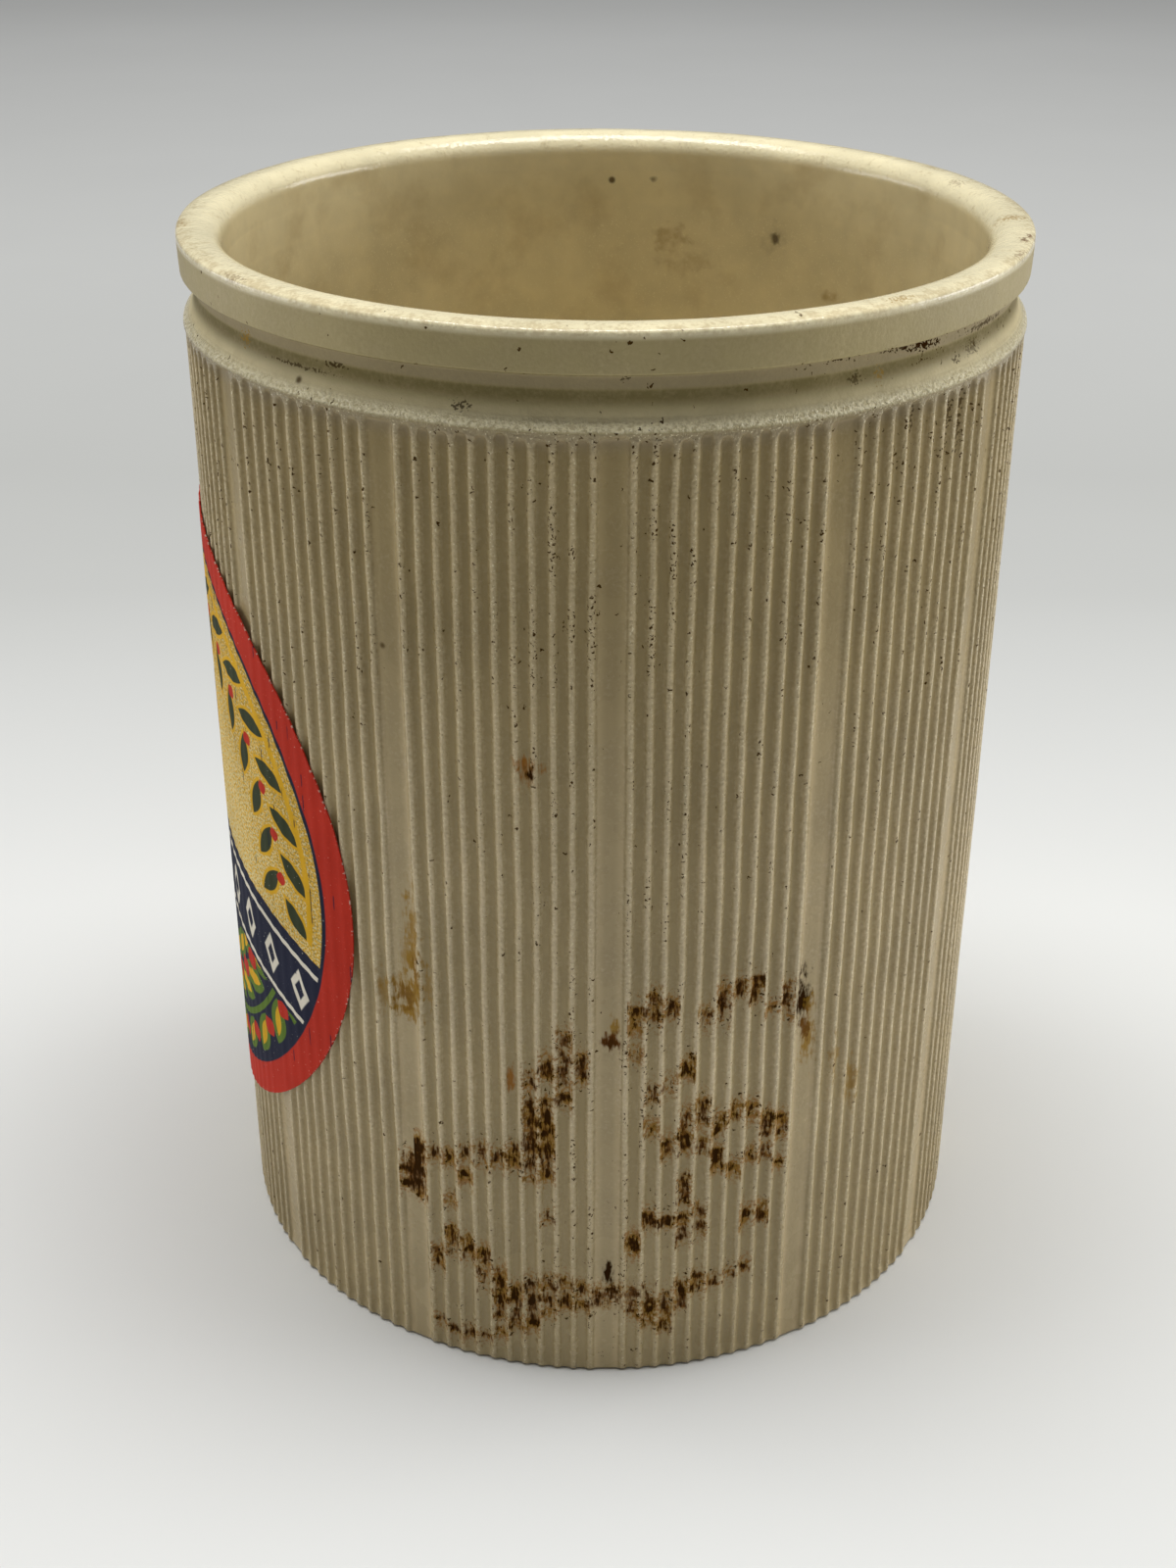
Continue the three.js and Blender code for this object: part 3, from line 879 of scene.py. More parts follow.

    # Painted highlights: glints of 0.2 mm in the lip's colour on the crests and the ridge
    painted_glint = add(tree, "TexNoise", {"Vector": mm, "Scale": 5.0, "Detail": 1.0})
    painted_glint = add(tree, "MapRange", {"Value": painted_glint, "From Min": 0.63, "From Max": 0.7, "To Max": 0.7})
    bright = add(tree, "MapRange", {"Value": flute, "From Min": 0.3, "From Max": 0.05})
    below = add(tree, "MapRange", {"Value": height, "From Min": 98.5, "From Max": 98.3})
    for share in (bright, below):
        painted_glint = add(tree, "Math", {0: painted_glint, 1: share}, operation="MULTIPLY")
    colour = add(tree, "Mix", {0: painted_glint, 6: colour, 7: paint(finish.lip)}, out=2, data_type="RGBA")

    # Soft olive smudges of 6 mm in the bore
    smudge = add(tree, "TexNoise", {"Vector": mm, "Scale": 0.15, "Detail": 4.0, "Roughness": 0.6})
    smudge = add(tree, "MapRange", {"Value": smudge, "From Min": 0.52, "From Max": 0.8, "To Max": 0.35})
    smudge = add(tree, "Math", {0: smudge, 1: in_bore}, operation="MULTIPLY")
    colour = add(tree, "Mix", {0: smudge, 6: colour, 7: paint(finish.ochre)}, out=2, data_type="RGBA")

    # Residue fills the flutes in flaky dabs with golden-brown edges, and rust specks lie round them
    # Streaks 0.3 mm wide and 1.2 mm tall
    streaks = add(tree, "VectorMath", {0: mm, 1: (1.0, 1.0, 0.25)}, operation="MULTIPLY")
    streaks = add(tree, "TexNoise", {"Vector": streaks, "Scale": 3.3, "Detail": 3.0, "Roughness": 0.6})
    ragged = add(tree, "Math", {0: blotch, 1: 2.6, 2: -2.85}, operation="MULTIPLY_ADD")
    ragged = add(tree, "Math", {0: streaks, 1: 3.2, 2: ragged}, operation="MULTIPLY_ADD")
    far = residue_distance(tree, near, height)
    beside = add(tree, "Math", {0: near}, operation="FRACT")
    beside = add(tree, "Math", {0: beside, 1: 0.5}, operation="SUBTRACT")
    beside = add(tree, "Math", {0: beside}, operation="ABSOLUTE")
    beside = add(tree, "Math", {0: beside, 1: 1.7, 2: -0.58}, operation="MULTIPLY_ADD")
    in_band = add(tree, "Math", {0: from_band, 1: 20.4, 2: -1.45}, operation="MULTIPLY_ADD")
    beside = add(tree, "Math", {0: beside, 1: in_band}, operation="MINIMUM")
    far = add(tree, "Math", {0: far, 1: beside}, operation="MAXIMUM")
    edge = add(tree, "Math", {0: far, 1: ragged}, operation="ADD")
    fringe = add(tree, "MapRange", {"Value": edge, "From Min": 0.5, "From Max": 0.0, "To Max": 0.8})
    golden = add(tree, "MapRange", {"Value": mottle, "From Min": 0.42, "From Max": 0.58, "To Min": 0.25})
    for share in (golden, outside):
        fringe = add(tree, "Math", {0: fringe, 1: share}, operation="MULTIPLY")
    brown = add(tree, "MapRange", {"Value": edge, "From Min": 0.05, "From Max": -0.4, "To Max": 0.85})
    brown = add(tree, "Math", {0: brown, 1: outside}, operation="MULTIPLY")
    # Flakes 0.5 mm wide and 1.4 mm tall
    flakes = add(tree, "VectorMath", {0: mm, 1: (1.0, 1.0, 0.35)}, operation="MULTIPLY")
    flakes = add(tree, "TexNoise", {"Vector": flakes, "Scale": 2.0, "Detail": 3.0, "Roughness": 0.65})
    core = add(tree, "Math", {0: flakes, 1: -2.4, 2: edge}, operation="MULTIPLY_ADD")
    core = add(tree, "Math", {0: mottle, 1: -1.6, 2: core}, operation="MULTIPLY_ADD")
    core = add(tree, "MapRange", {"Value": core, "From Min": -2.25, "From Max": -2.75, "To Max": 0.92})
    core = add(tree, "Math", {0: core, 1: outside}, operation="MULTIPLY")
    halo = add(tree, "MapRange", {"Value": far, "From Min": 2.2, "From Max": 0.0})
    specks = add(tree, "Math", {0: halo, 1: 0.2, 2: grain}, operation="MULTIPLY_ADD")
    specks = add(tree, "Math", {0: mottle, 1: 0.5, 2: specks}, operation="MULTIPLY_ADD")
    specks = add(tree, "MapRange", {"Value": specks, "From Min": 0.9, "From Max": 1.02, "To Max": 0.8})
    halo = add(tree, "Math", {0: halo, 1: outside}, operation="MULTIPLY")
    specks = add(tree, "Math", {0: specks, 1: halo}, operation="MULTIPLY")
    for mask, tone in (
        (specks, finish.rust), (fringe, finish.ochre), (brown, finish.brown), (core, finish.stain),
    ):
        colour = add(tree, "Mix", {0: mask, 6: colour, 7: paint(tone)}, out=2, data_type="RGBA")
    # Single stains, with crumbs of 0.25 mm on the neck and lip
    crumbs = add(tree, "TexNoise", {"Vector": mm, "Scale": 4.0, "Detail": 1.0})
    crumbs = add(tree, "Math", {0: crumbs, 1: 5.0, 2: -2.3}, operation="MULTIPLY_ADD")
    blurred = add(tree, "Math", {0: blotch, 1: 3.6, 2: -1.8}, operation="MULTIPLY_ADD")
    for spots, level, torn, soft, where in (
        (WALL_STAINS, height, ragged, 0.45, outside),
        (NECK_STAINS, height, crumbs, 0.25, outside),
        (BORE_STAINS, height, blurred, 0.6, in_bore),
        (LIP_STAINS, radius, crumbs, 0.45, on_lip),
    ):
        colour = stains(tree, colour, spots, finish, near, level, torn, soft, where)

    # Pinholes of 0.1 to 0.3 mm in runs along the crests, crowded by the residue and on the right of the neck
    skin = add(tree, "CombineXYZ", {0: near, 1: height})
    skin = add(tree, "VectorMath", {0: skin, 1: (1.7, 1.0, 1.0)}, operation="MULTIPLY")
    bent = add(tree, "TexNoise", {"Vector": mm, "Scale": 3.0, "Detail": 1.0}, out="Color")
    bent = add(tree, "VectorMath", {0: bent, "Scale": 0.7}, operation="SCALE")
    skin = add(tree, "VectorMath", {0: skin, 1: bent}, operation="ADD")
    pores = add(tree, "TexVoronoi", {"Vector": skin, "Scale": 2.6}, out="Distance", voronoi_dimensions="2D")
    chance = add(tree, "SeparateColor", {0: pores.node.outputs["Color"]})
    girth = add(tree, "SeparateColor", {0: pores.node.outputs["Color"]}, out=1)
    rib = add(tree, "Math", {0: near}, operation="ROUND")
    runs = add(tree, "CombineXYZ", {0: rib, 1: height})
    runs = add(tree, "VectorMath", {0: runs, 1: (3.7, 0.12, 1.0)}, operation="MULTIPLY")
    runs = add(tree, "TexNoise", {"Vector": runs, "Scale": 1.0, "Detail": 2.0}, noise_dimensions="2D")
    crowd = add(
        tree, "MapRange", {"Value": runs, "From Min": 0.46, "From Max": 0.72, "To Min": 0.04, "To Max": 0.9},
    )
    on_crest = add(tree, "MapRange", {"Value": flute, "From Min": 0.65, "From Max": 0.3, "To Min": 0.06})
    on_ribs = add(tree, "MapRange", {"Value": height, "From Min": 98.2, "From Max": 96.5, "To Min": 0.04})
    upper = add(
        tree, "MapRange", {"Value": height, "From Min": 50.0, "From Max": 85.0, "To Min": 0.3, "To Max": 1.0},
    )
    front = add(tree, "Math", {0: near}, operation="ABSOLUTE")
    front = add(
        tree, "MapRange", {"Value": front, "From Min": 5.0, "From Max": 1.2, "To Min": 0.5, "To Max": 2.8},
    )
    for share in (on_crest, on_ribs, upper, front):
        crowd = add(tree, "Math", {0: crowd, 1: share}, operation="MULTIPLY")
    crowd = add(tree, "Math", {0: halo, 1: 0.2, 2: crowd}, operation="MULTIPLY_ADD")
    to_right = add(tree, "MapRange", {"Value": rightward, "From Min": 6.0, "From Max": 26.0, "To Max": 1.0})
    patchy = add(tree, "MapRange", {"Value": mottle, "From Min": 0.46, "From Max": 0.56})
    for level, reach, most in ((101.9, 0.7, 0.6), (100.2, 1.2, 0.4), (92.5, 4.5, 0.35)):
        dirt = add(tree, "Math", {0: height, 1: level}, operation="SUBTRACT")
        dirt = add(tree, "Math", {0: dirt}, operation="ABSOLUTE")
        dirt = add(tree, "MapRange", {"Value": dirt, "From Min": reach, "From Max": 0.0, "To Max": most})
        dirt = add(tree, "Math", {0: dirt, 1: patchy}, operation="MULTIPLY")
        crowd = add(tree, "Math", {0: dirt, 1: to_right, 2: crowd}, operation="MULTIPLY_ADD")
    crowd = add(tree, "Math", {0: crowd, 1: outside}, operation="MULTIPLY")
    some = add(tree, "Math", {0: chance, 1: crowd}, operation="LESS_THAN")
    girth = add(tree, "Math", {0: girth, 1: 0.24, 2: 0.1}, operation="MULTIPLY_ADD")
    hole = add(tree, "Math", {0: girth, 1: pores}, operation="SUBTRACT")
    pinhole = add(tree, "MapRange", {"Value": hole, "From Min": -0.04, "From Max": 0.08, "To Max": 0.95})
    pinhole = add(tree, "Math", {0: pinhole, 1: some}, operation="MULTIPLY")
    colour = add(tree, "Mix", {0: pinhole, 6: colour, 7: paint(finish.speck)}, out=2, data_type="RGBA")

    # Iron specks of 0.5 to 1 mm with soft brown edges, here and there on all the glaze
    iron = add(tree, "TexVoronoi", {"Vector": mm, "Scale": 0.16}, out="Distance")
    chance = add(tree, "SeparateColor", {0: iron.node.outputs["Color"]})
    some = add(tree, "Math", {0: chance, 1: 0.2}, operation="LESS_THAN")
    speck = add(
        tree, "MapRange", {"Value": iron, "From Min": 0.08, "From Max": 0.03, "To Max": 0.85},
        interpolation_type="SMOOTHSTEP",
    )
    speck = add(tree, "Math", {0: speck, 1: some}, operation="MULTIPLY")
    colour = add(tree, "Mix", {0: speck, 6: colour, 7: paint(finish.speck)}, out=2, data_type="RGBA")

    # Satin wall, a wet lip and bore, dry residue. The darker the dirt, the less it shines.
    rough = add(
        tree, "MapRange", {"Value": mottle, "From Min": 0.3, "From Max": 0.7, "To Min": 0.16, "To Max": 0.36},
    )
    wet = add(tree, "Math", {0: on_lip, 1: in_bore}, operation="MAXIMUM")
    on_neck = add(tree, "MapRange", {"Value": height, "From Min": 98.1, "From Max": 98.5})
    for mask, level in ((on_neck, 0.46), (ridge, 0.13), (wet, 0.06), (brown, 0.5)):
        rough = add(tree, "Mix", {0: mask, 2: rough, 3: level}, data_type="FLOAT")
    clean = add(tree, "RGBToBW", {0: colour})
    clean = add(tree, "MapRange", {"Value": clean, "From Min": 0.08, "From Max": 0.4})
    shine = add(tree, "Math", {0: wet, 1: 0.14, 2: 0.32}, operation="MULTIPLY_ADD")
    cove = add(tree, "MapRange", {"Value": height, "From Min": 98.4, "From Max": 98.9})
    under = add(tree, "MapRange", {"Value": height, "From Min": 102.4, "From Max": 102.0})
    cove = add(tree, "Math", {0: cove, 1: under}, operation="MULTIPLY")
    shine = add(tree, "Mix", {0: cove, 2: shine, 3: 0.07}, data_type="FLOAT")
    shine = add(tree, "Math", {0: shine, 1: clean}, operation="MULTIPLY")

    # Glaze that lies uneven by hundredths of a millimetre, lumpy on the crests and ridge, with open pinholes
    lumpy = add(tree, "MapRange", {"Value": flute, "From Max": 0.7, "To Min": 0.28, "To Max": 0.05})
    smooth = add(
        tree, "MapRange", {"Value": height, "From Min": 98.1, "From Max": 98.5, "To Min": 1.0, "To Max": 0.2},
    )
    smooth = add(tree, "Mix", {0: in_bore, 2: smooth, 3: 0.04}, data_type="FLOAT")
    lumpy = add(tree, "Math", {0: lumpy, 1: smooth}, operation="MULTIPLY")
    lumpy = add(tree, "Math", {0: ridge, 1: 0.2, 2: lumpy}, operation="MULTIPLY_ADD")
    relief = add(tree, "Math", {0: grain, 1: lumpy}, operation="MULTIPLY")
    swell = add(tree, "Mix", {0: on_lip, 2: 0.08, 3: 0.1}, data_type="FLOAT")
    swell = add(tree, "Mix", {0: in_bore, 2: swell, 3: 0.03}, data_type="FLOAT")
    for bumps, rise in ((mottle, swell), (pinhole, -0.02), (core, 0.04)):
        relief = add(tree, "Math", {0: bumps, 1: rise, 2: relief}, operation="MULTIPLY_ADD")
    normal = add(tree, "Bump", {"Strength": 0.9, "Distance": MM, "Height": relief})
    shader = add(
        tree, "BsdfPrincipled",
        {"Base Color": colour, "Roughness": rough, "Specular IOR Level": shine, "Normal": normal},
    )
    add(tree, "OutputMaterial", {"Surface": shader})
    return material


def bare_stoneware(finish):
    """Unglazed stoneware of the foot ring, ground flat: dry, buff and sandy."""
    material, tree = new_material("bare_stoneware")
    place_map = add(tree, "TexCoord", out="Object")
    mm = add(tree, "VectorMath", {0: place_map, "Scale": 1000.0}, operation="SCALE")
    # Sand of 0.4 mm and worn patches of 5 mm
    sand = add(tree, "TexNoise", {"Vector": mm, "Scale": 2.5, "Detail": 2.0})
    patch = add(tree, "TexNoise", {"Vector": mm, "Scale": 0.2, "Detail": 3.0})
    both = add(tree, "Math", {0: sand, 1: patch}, operation="MULTIPLY")
    tone = add(
        tree, "MapRange", {"Value": both, "From Min": 0.12, "From Max": 0.4, "To Min": 0.75, "To Max": 1.1},
    )
    colour = add(
        tree, "Mix", {0: 1.0, 6: paint(finish.body), 7: tone}, out=2, data_type="RGBA", blend_type="MULTIPLY",
    )
    normal = add(tree, "Bump", {"Strength": 0.6, "Distance": 0.05 * MM, "Height": sand})
    shader = add(tree, "BsdfPrincipled", {"Base Color": colour, "Roughness": 0.85, "Normal": normal})
    add(tree, "OutputMaterial", {"Surface": shader})
    return material


def sprigs(tree, colour, turn, reach, where, ring, offset, lean, long, wide, tone):
    """Lays a ring of leaves over a colour, by turn and reach about a point: sizes in mm, turns in degrees."""
    turn_step = math.radians(LEAF_STEP)
    along = add(tree, "Math", {0: turn, 1: 1 / turn_step, 2: offset / LEAF_STEP}, operation="MULTIPLY_ADD")
    along = add(tree, "Math", {0: along}, operation="FRACT")
    along = add(
        tree, "Math", {0: along, 1: turn_step * ring, 2: -turn_step * ring / 2}, operation="MULTIPLY_ADD",
    )
    outward = add(tree, "Math", {0: reach, 1: ring}, operation="SUBTRACT")
    leaf = add(tree, "CombineXYZ", {0: along, 1: outward})
    leaf = add(tree, "VectorRotate", {"Vector": leaf, "Angle": math.radians(lean)}, rotation_type="Z_AXIS")
    # Two arcs that meet in points give the outline of a leaf
    length = add(tree, "SeparateXYZ", {0: leaf}, out=0)
    width = add(tree, "SeparateXYZ", {0: leaf}, out=1)
    length = add(tree, "Math", {0: length, 1: 1 / long}, operation="MULTIPLY")
    length = add(tree, "Math", {0: length, 1: 2.0}, operation="POWER")
    width = add(tree, "Math", {0: width}, operation="ABSOLUTE")
    leaf = add(tree, "Math", {0: width, 1: 1 / wide, 2: length}, operation="MULTIPLY_ADD")
    leaf = add(tree, "MapRange", {"Value": leaf, "From Min": 1.05, "From Max": 0.95})
    leaf = add(tree, "Math", {0: leaf, 1: where}, operation="MULTIPLY")
    return add(tree, "Mix", {0: leaf, 6: colour, 7: paint(tone)}, out=2, data_type="RGBA")


def printed_paper(label):
    """Aged printed paper pasted over the ribs: flat inks, a stippled tint and cracks over the ribs.

    A red border and fine rings run round the oval. The field is cream stippled with gold, with a garland of
    dark leaves and a rosette. A dark lower part under a bowed edge has lozenges, green leaves and berries.
    """
    material, tree = new_material("printed_paper")
    sheet = add(tree, "UVMap", uv_map="print")
    across = add(tree, "SeparateXYZ", {0: sheet}, out=0)
    upward = add(tree, "SeparateXYZ", {0: sheet}, out=1)
    wall = add(tree, "UVMap", uv_map="wall")
    place = add(tree, "SeparateXYZ", {0: wall}, out=0)
    half_width, half_height = label.width / 2 / MM, label.height / 2 / MM
    mean = (half_width + half_height) / 2
    oval = add(
        tree, "VectorMath", {0: sheet, 1: (1 / half_width, 1 / half_height, 0.0)}, operation="MULTIPLY",
    )
    oval_across = add(tree, "SeparateXYZ", {0: oval}, out=0)
    oval_up = add(tree, "SeparateXYZ", {0: oval}, out=1)
    oval_turn = add(tree, "Math", {0: oval_up, 1: oval_across}, operation="ARCTAN2")
    oval = add(tree, "VectorMath", {0: oval}, out="Value", operation="LENGTH")
    oval_reach = add(tree, "Math", {0: oval, 1: mean}, operation="MULTIPLY")
    inset = add(tree, "Math", {0: mean, 1: oval_reach}, operation="SUBTRACT")
    # Fibres of 0.3 mm, and stains of 8 mm
    fibre = add(tree, "TexNoise", {"Vector": sheet, "Scale": 3.0, "Detail": 3.0})
    age = add(tree, "TexNoise", {"Vector": sheet, "Scale": 0.12, "Detail": 4.0})

    # Cream field with a gold stipple of 0.3 mm, denser towards the border and the top
    stipple = add(tree, "TexNoise", {"Vector": sheet, "Scale": 3.4, "Detail": 0.0})
    dense = add(
        tree, "MapRange", {"Value": oval, "From Min": 0.45, "From Max": 0.9, "To Min": 0.55, "To Max": 0.44},
    )
    dense = add(tree, "Math", {0: upward, 1: -0.003, 2: dense}, operation="MULTIPLY_ADD")
    stipple = add(tree, "Math", {0: stipple, 1: dense}, operation="SUBTRACT")
    stipple = add(tree, "MapRange", {"Value": stipple, "From Min": -0.02, "From Max": 0.02, "To Max": 0.85})
    colour = add(
        tree, "Mix", {0: stipple, 6: paint(label.cream), 7: paint(label.gold)}, out=2, data_type="RGBA",
    )

    # Dark stipple of 0.2 mm, denser in the same way
    ink = add(tree, "TexNoise", {"Vector": sheet, "Scale": 4.6, "Detail": 0.0})
    ink = add(tree, "Math", {0: ink, 1: dense}, operation="SUBTRACT")
    ink = add(tree, "MapRange", {"Value": ink, "From Min": 0.08, "From Max": 0.13, "To Max": 0.4})
    colour = add(tree, "Mix", {0: ink, 6: colour, 7: paint(label.leaf)}, out=2, data_type="RGBA")

    # Garland of dark leaves with gold edges and red berries, 10 mm inside the edge
    bow = add(tree, "Math", {0: across, 1: 2.0}, operation="POWER")
    bow = add(tree, "Math", {0: bow, 1: 0.006, 2: upward}, operation="MULTIPLY_ADD")
    field = add(tree, "Math", {0: bow, 1: 1.5}, operation="GREATER_THAN")
    for ring, offset, lean, long, wide, tone in (
        (27.6, 0.0, 42.0, 3.1, 1.35, label.gold), (27.6, 0.0, 42.0, 2.6, 0.95, label.leaf),
        (23.4, 5.5, -42.0, 2.9, 1.3, label.gold), (23.4, 5.5, -42.0, 2.4, 0.9, label.leaf),
        (25.4, 2.7, 0.0, 0.8, 0.7, label.red),
    ):
        colour = sprigs(tree, colour, oval_turn, oval_reach, field, ring, offset, lean, long, wide, tone)

    # Dark lower part under a bowed edge, with pale lines and a row of lozenges
    below = add(tree, "Math", {0: bow, 1: -1.0}, operation="LESS_THAN")
    colour = add(tree, "Mix", {0: below, 6: colour, 7: paint(label.navy)}, out=2, data_type="RGBA")
    for level, half, tone in (
        (-0.6, 0.45, label.navy), (-1.9, 0.3, label.paper_white), (-9.3, 0.3, label.paper_white),
    ):
        line = add(tree, "Math", {0: bow, 1: level, 2: half}, operation="COMPARE")
        colour = add(tree, "Mix", {0: line, 6: colour, 7: paint(tone)}, out=2, data_type="RGBA")
    lozenge_step, lozenge_drop = 5.2, 5.6
    lozenge_wide, lozenge_tall = 1.5, 2.4
    run = add(tree, "Math", {0: across, 1: 1 / lozenge_step}, operation="MULTIPLY")
    run = add(tree, "Math", {0: run}, operation="FRACT")
    run = add(tree, "Math", {0: run, 1: 0.5}, operation="SUBTRACT")
    run = add(tree, "Math", {0: run}, operation="ABSOLUTE")
    rise = add(tree, "Math", {0: bow, 1: lozenge_drop}, operation="ADD")
    rise = add(tree, "Math", {0: rise}, operation="ABSOLUTE")
    lozenge = add(tree, "Math", {0: rise, 1: 1 / lozenge_tall}, operation="MULTIPLY")
    lozenge = add(
        tree, "Math", {0: run, 1: lozenge_step / lozenge_wide, 2: lozenge}, operation="MULTIPLY_ADD",
    )
    for size, tone in ((1.0, label.paper_white), (0.5, label.navy)):
        mark = add(tree, "MapRange", {"Value": lozenge, "From Min": size + 0.05, "From Max": size - 0.05})
        colour = add(tree, "Mix", {0: mark, 6: colour, 7: paint(tone)}, out=2, data_type="RGBA")

    # Leaves and berries on a stem that follows the oval through the lower part
    lower = add(tree, "Math", {0: bow, 1: -10.2}, operation="LESS_THAN")
    stem = add(tree, "Math", {0: oval_reach, 1: 26.2, 2: 0.35}, operation="COMPARE")
    stem = add(tree, "Math", {0: stem, 1: lower}, operation="MULTIPLY")
    colour = add(tree, "Mix", {0: stem, 6: colour, 7: paint(label.green)}, out=2, data_type="RGBA")
    for ring, offset, lean, long, wide, tone in (
        (28.7, 0.0, 35.0, 3.0, 1.5, label.green), (28.7, 0.0, 35.0, 2.0, 0.65, label.gold),
        (23.0, 5.5, -38.0, 3.2, 1.7, label.green), (23.0, 5.5, -38.0, 2.1, 0.75, label.gold),
        (28.4, 6.0, 90.0, 1.2, 1.2, label.red), (19.0, 0.5, 20.0, 2.8, 1.6, label.green),
        (19.0, 0.5, 20.0, 1.9, 0.7, label.gold), (21.4, 1.5, 90.0, 1.3, 1.3, label.red),
    ):
        colour = sprigs(tree, colour, oval_turn, oval_reach, lower, ring, offset, lean, long, wide, tone)

    # Rosette: a dark disc with gold petals and a red eye, ringed in white and gold
    rosette_up = 12.0
    disc_up = add(tree, "Math", {0: upward, 1: rosette_up}, operation="SUBTRACT")
    both = add(tree, "CombineXYZ", {0: across, 1: disc_up})
    from_middle = add(tree, "VectorMath", {0: both}, out="Value", operation="LENGTH")
    petal = add(tree, "Math", {0: disc_up, 1: across}, operation="ARCTAN2")
    petal = add(tree, "Math", {0: petal, 1: 4.0}, operation="MULTIPLY")
    petal = add(tree, "Math", {0: petal}, operation="COSINE")
    petal = add(tree, "Math", {0: petal}, operation="ABSOLUTE")
    petal = add(tree, "Math", {0: petal, 1: 4.0, 2: 2.4}, operation="MULTIPLY_ADD")
    for size, tone in ((9.8, label.gold), (9.1, label.paper_white), (8.5, label.navy)):
        disc = add(tree, "Math", {0: from_middle, 1: size}, operation="LESS_THAN")
        colour = add(tree, "Mix", {0: disc, 6: colour, 7: paint(tone)}, out=2, data_type="RGBA")
    petals = add(tree, "Math", {0: from_middle, 1: petal}, operation="LESS_THAN")
    colour = add(tree, "Mix", {0: petals, 6: colour, 7: paint(label.gold)}, out=2, data_type="RGBA")
    eye = add(tree, "Math", {0: from_middle, 1: 1.7}, operation="LESS_THAN")
    colour = add(tree, "Mix", {0: eye, 6: colour, 7: paint(label.red)}, out=2, data_type="RGBA")

    # Rings round the oval: a gold line in the field, a dark line and the border
    border = label.border / MM
    gold_line = add(tree, "Math", {0: inset, 1: border + 2.2, 2: 0.42}, operation="COMPARE")
    gold_line = add(tree, "Math", {0: gold_line, 1: field}, operation="MULTIPLY")
    colour = add(tree, "Mix", {0: gold_line, 6: colour, 7: paint(label.gold)}, out=2, data_type="RGBA")
    for depth, tone in ((border + 0.5, label.navy), (border, label.red)):
        ring = add(tree, "MapRange", {"Value": inset, "From Min": depth + 0.06, "From Max": depth - 0.06})
        colour = add(tree, "Mix", {0: ring, 6: colour, 7: paint(tone)}, out=2, data_type="RGBA")

    # Small scuffs to bare paper, short dark cracks over the ribs, and a brown cast of age
    scuff = add(tree, "MapRange", {"Value": inset, "From Min": 0.3, "From Max": 0.0, "To Max": 0.12})
    scuff = add(tree, "Math", {0: scuff, 1: fibre}, operation="ADD")
    scuff = add(tree, "MapRange", {"Value": scuff, "From Min": 0.68, "From Max": 0.76, "To Max": 0.6})
    colour = add(tree, "Mix", {0: scuff, 6: colour, 7: paint(label.paper_white)}, out=2, data_type="RGBA")
    rib = add(tree, "Math", {0: place}, operation="ROUND")
    beside = add(tree, "Math", {0: place, 1: rib}, operation="SUBTRACT")
    beside = add(tree, "Math", {0: fibre, 1: 0.08, 2: beside}, operation="MULTIPLY_ADD")
    beside = add(tree, "Math", {0: beside, 1: 0.3}, operation="SUBTRACT")
    beside = add(tree, "Math", {0: beside}, operation="ABSOLUTE")
    crack = add(tree, "MapRange", {"Value": beside, "From Min": 0.06, "From Max": 0.02, "To Max": 0.85})
    runs = add(tree, "CombineXYZ", {0: rib, 1: upward})
    runs = add(tree, "VectorMath", {0: runs, 1: (7.3, 0.3, 1.0)}, operation="MULTIPLY")
    runs = add(tree, "TexNoise", {"Vector": runs, "Scale": 1.0, "Detail": 1.0}, noise_dimensions="2D")
    runs = add(tree, "MapRange", {"Value": runs, "From Min": 0.66, "From Max": 0.7})
    crack = add(tree, "Math", {0: crack, 1: runs}, operation="MULTIPLY")
    colour = add(tree, "Mix", {0: crack, 6: colour, 7: paint(label.navy)}, out=2, data_type="RGBA")
    cast = add(
        tree, "MapRange", {"Value": age, "From Min": 0.35, "From Max": 0.7, "To Min": 1.03, "To Max": 0.86},
    )
    cast = add(tree, "Math", {0: fibre, 1: 0.2, 2: cast}, operation="MULTIPLY_ADD")
    cast = add(tree, "Math", {0: cast, 1: 0.1}, operation="SUBTRACT")
    colour = add(tree, "Mix", {0: 1.0, 6: colour, 7: cast}, out=2, data_type="RGBA", blend_type="MULTIPLY")
    rough = add(tree, "MapRange", {"Value": fibre, "To Min": 0.7, "To Max": 0.9})
    normal = add(tree, "Bump", {"Strength": 0.5, "Distance": 0.03 * MM, "Height": fibre})
    shader = add(
        tree, "BsdfPrincipled",
        {"Base Color": colour, "Roughness": rough, "Specular IOR Level": 0.12, "Normal": normal},
    )
    add(tree, "OutputMaterial", {"Surface": shader})
    return material


def matt_floor(look):
    """Matt white card, faintly uneven in tone, with painted shade greying it behind the jar."""
    material, tree = new_material("matt_card")
    place_map = add(tree, "TexCoord", out="Object")
    # Cloudy unevenness over about 60 mm
    cloud = add(tree, "TexNoise", {"Vector": place_map, "Scale": 16.0, "Detail": 2.0})
    tone = add(tree, "MapRange", {"Value": cloud, "To Min": 0.98, "To Max": 1.02})
    # Painted shade: a grey band on the floor behind the jar, fading out further back
    back_shade = add(tree, "SeparateXYZ", {0: place_map}, out=1)
    back_shade = add(tree, "MapRange", {"Value": back_shade, "From Min": 0.0, "From Max": 0.8})
    back_shade = add(
        tree, "FloatCurve", {1: back_shade},
        curve=[(0.0, 0.0), (0.06, 0.05), (0.2, 0.9), (0.28, 1.0), (0.5, 0.6), (1.0, 0.0)],
    )
    colour = add(
        tree, "Mix", {0: back_shade, 6: paint(look.floor), 7: paint(look.floor_back_shade)}, out=2, data_type="RGBA",
    )
    colour = add(tree, "Mix", {0: 1.0, 6: colour, 7: tone}, out=2, data_type="RGBA", blend_type="MULTIPLY")
    shader = add(tree, "BsdfPrincipled", {"Base Color": colour, "Roughness": 0.9})
    add(tree, "OutputMaterial", {"Surface": shader})
    return material


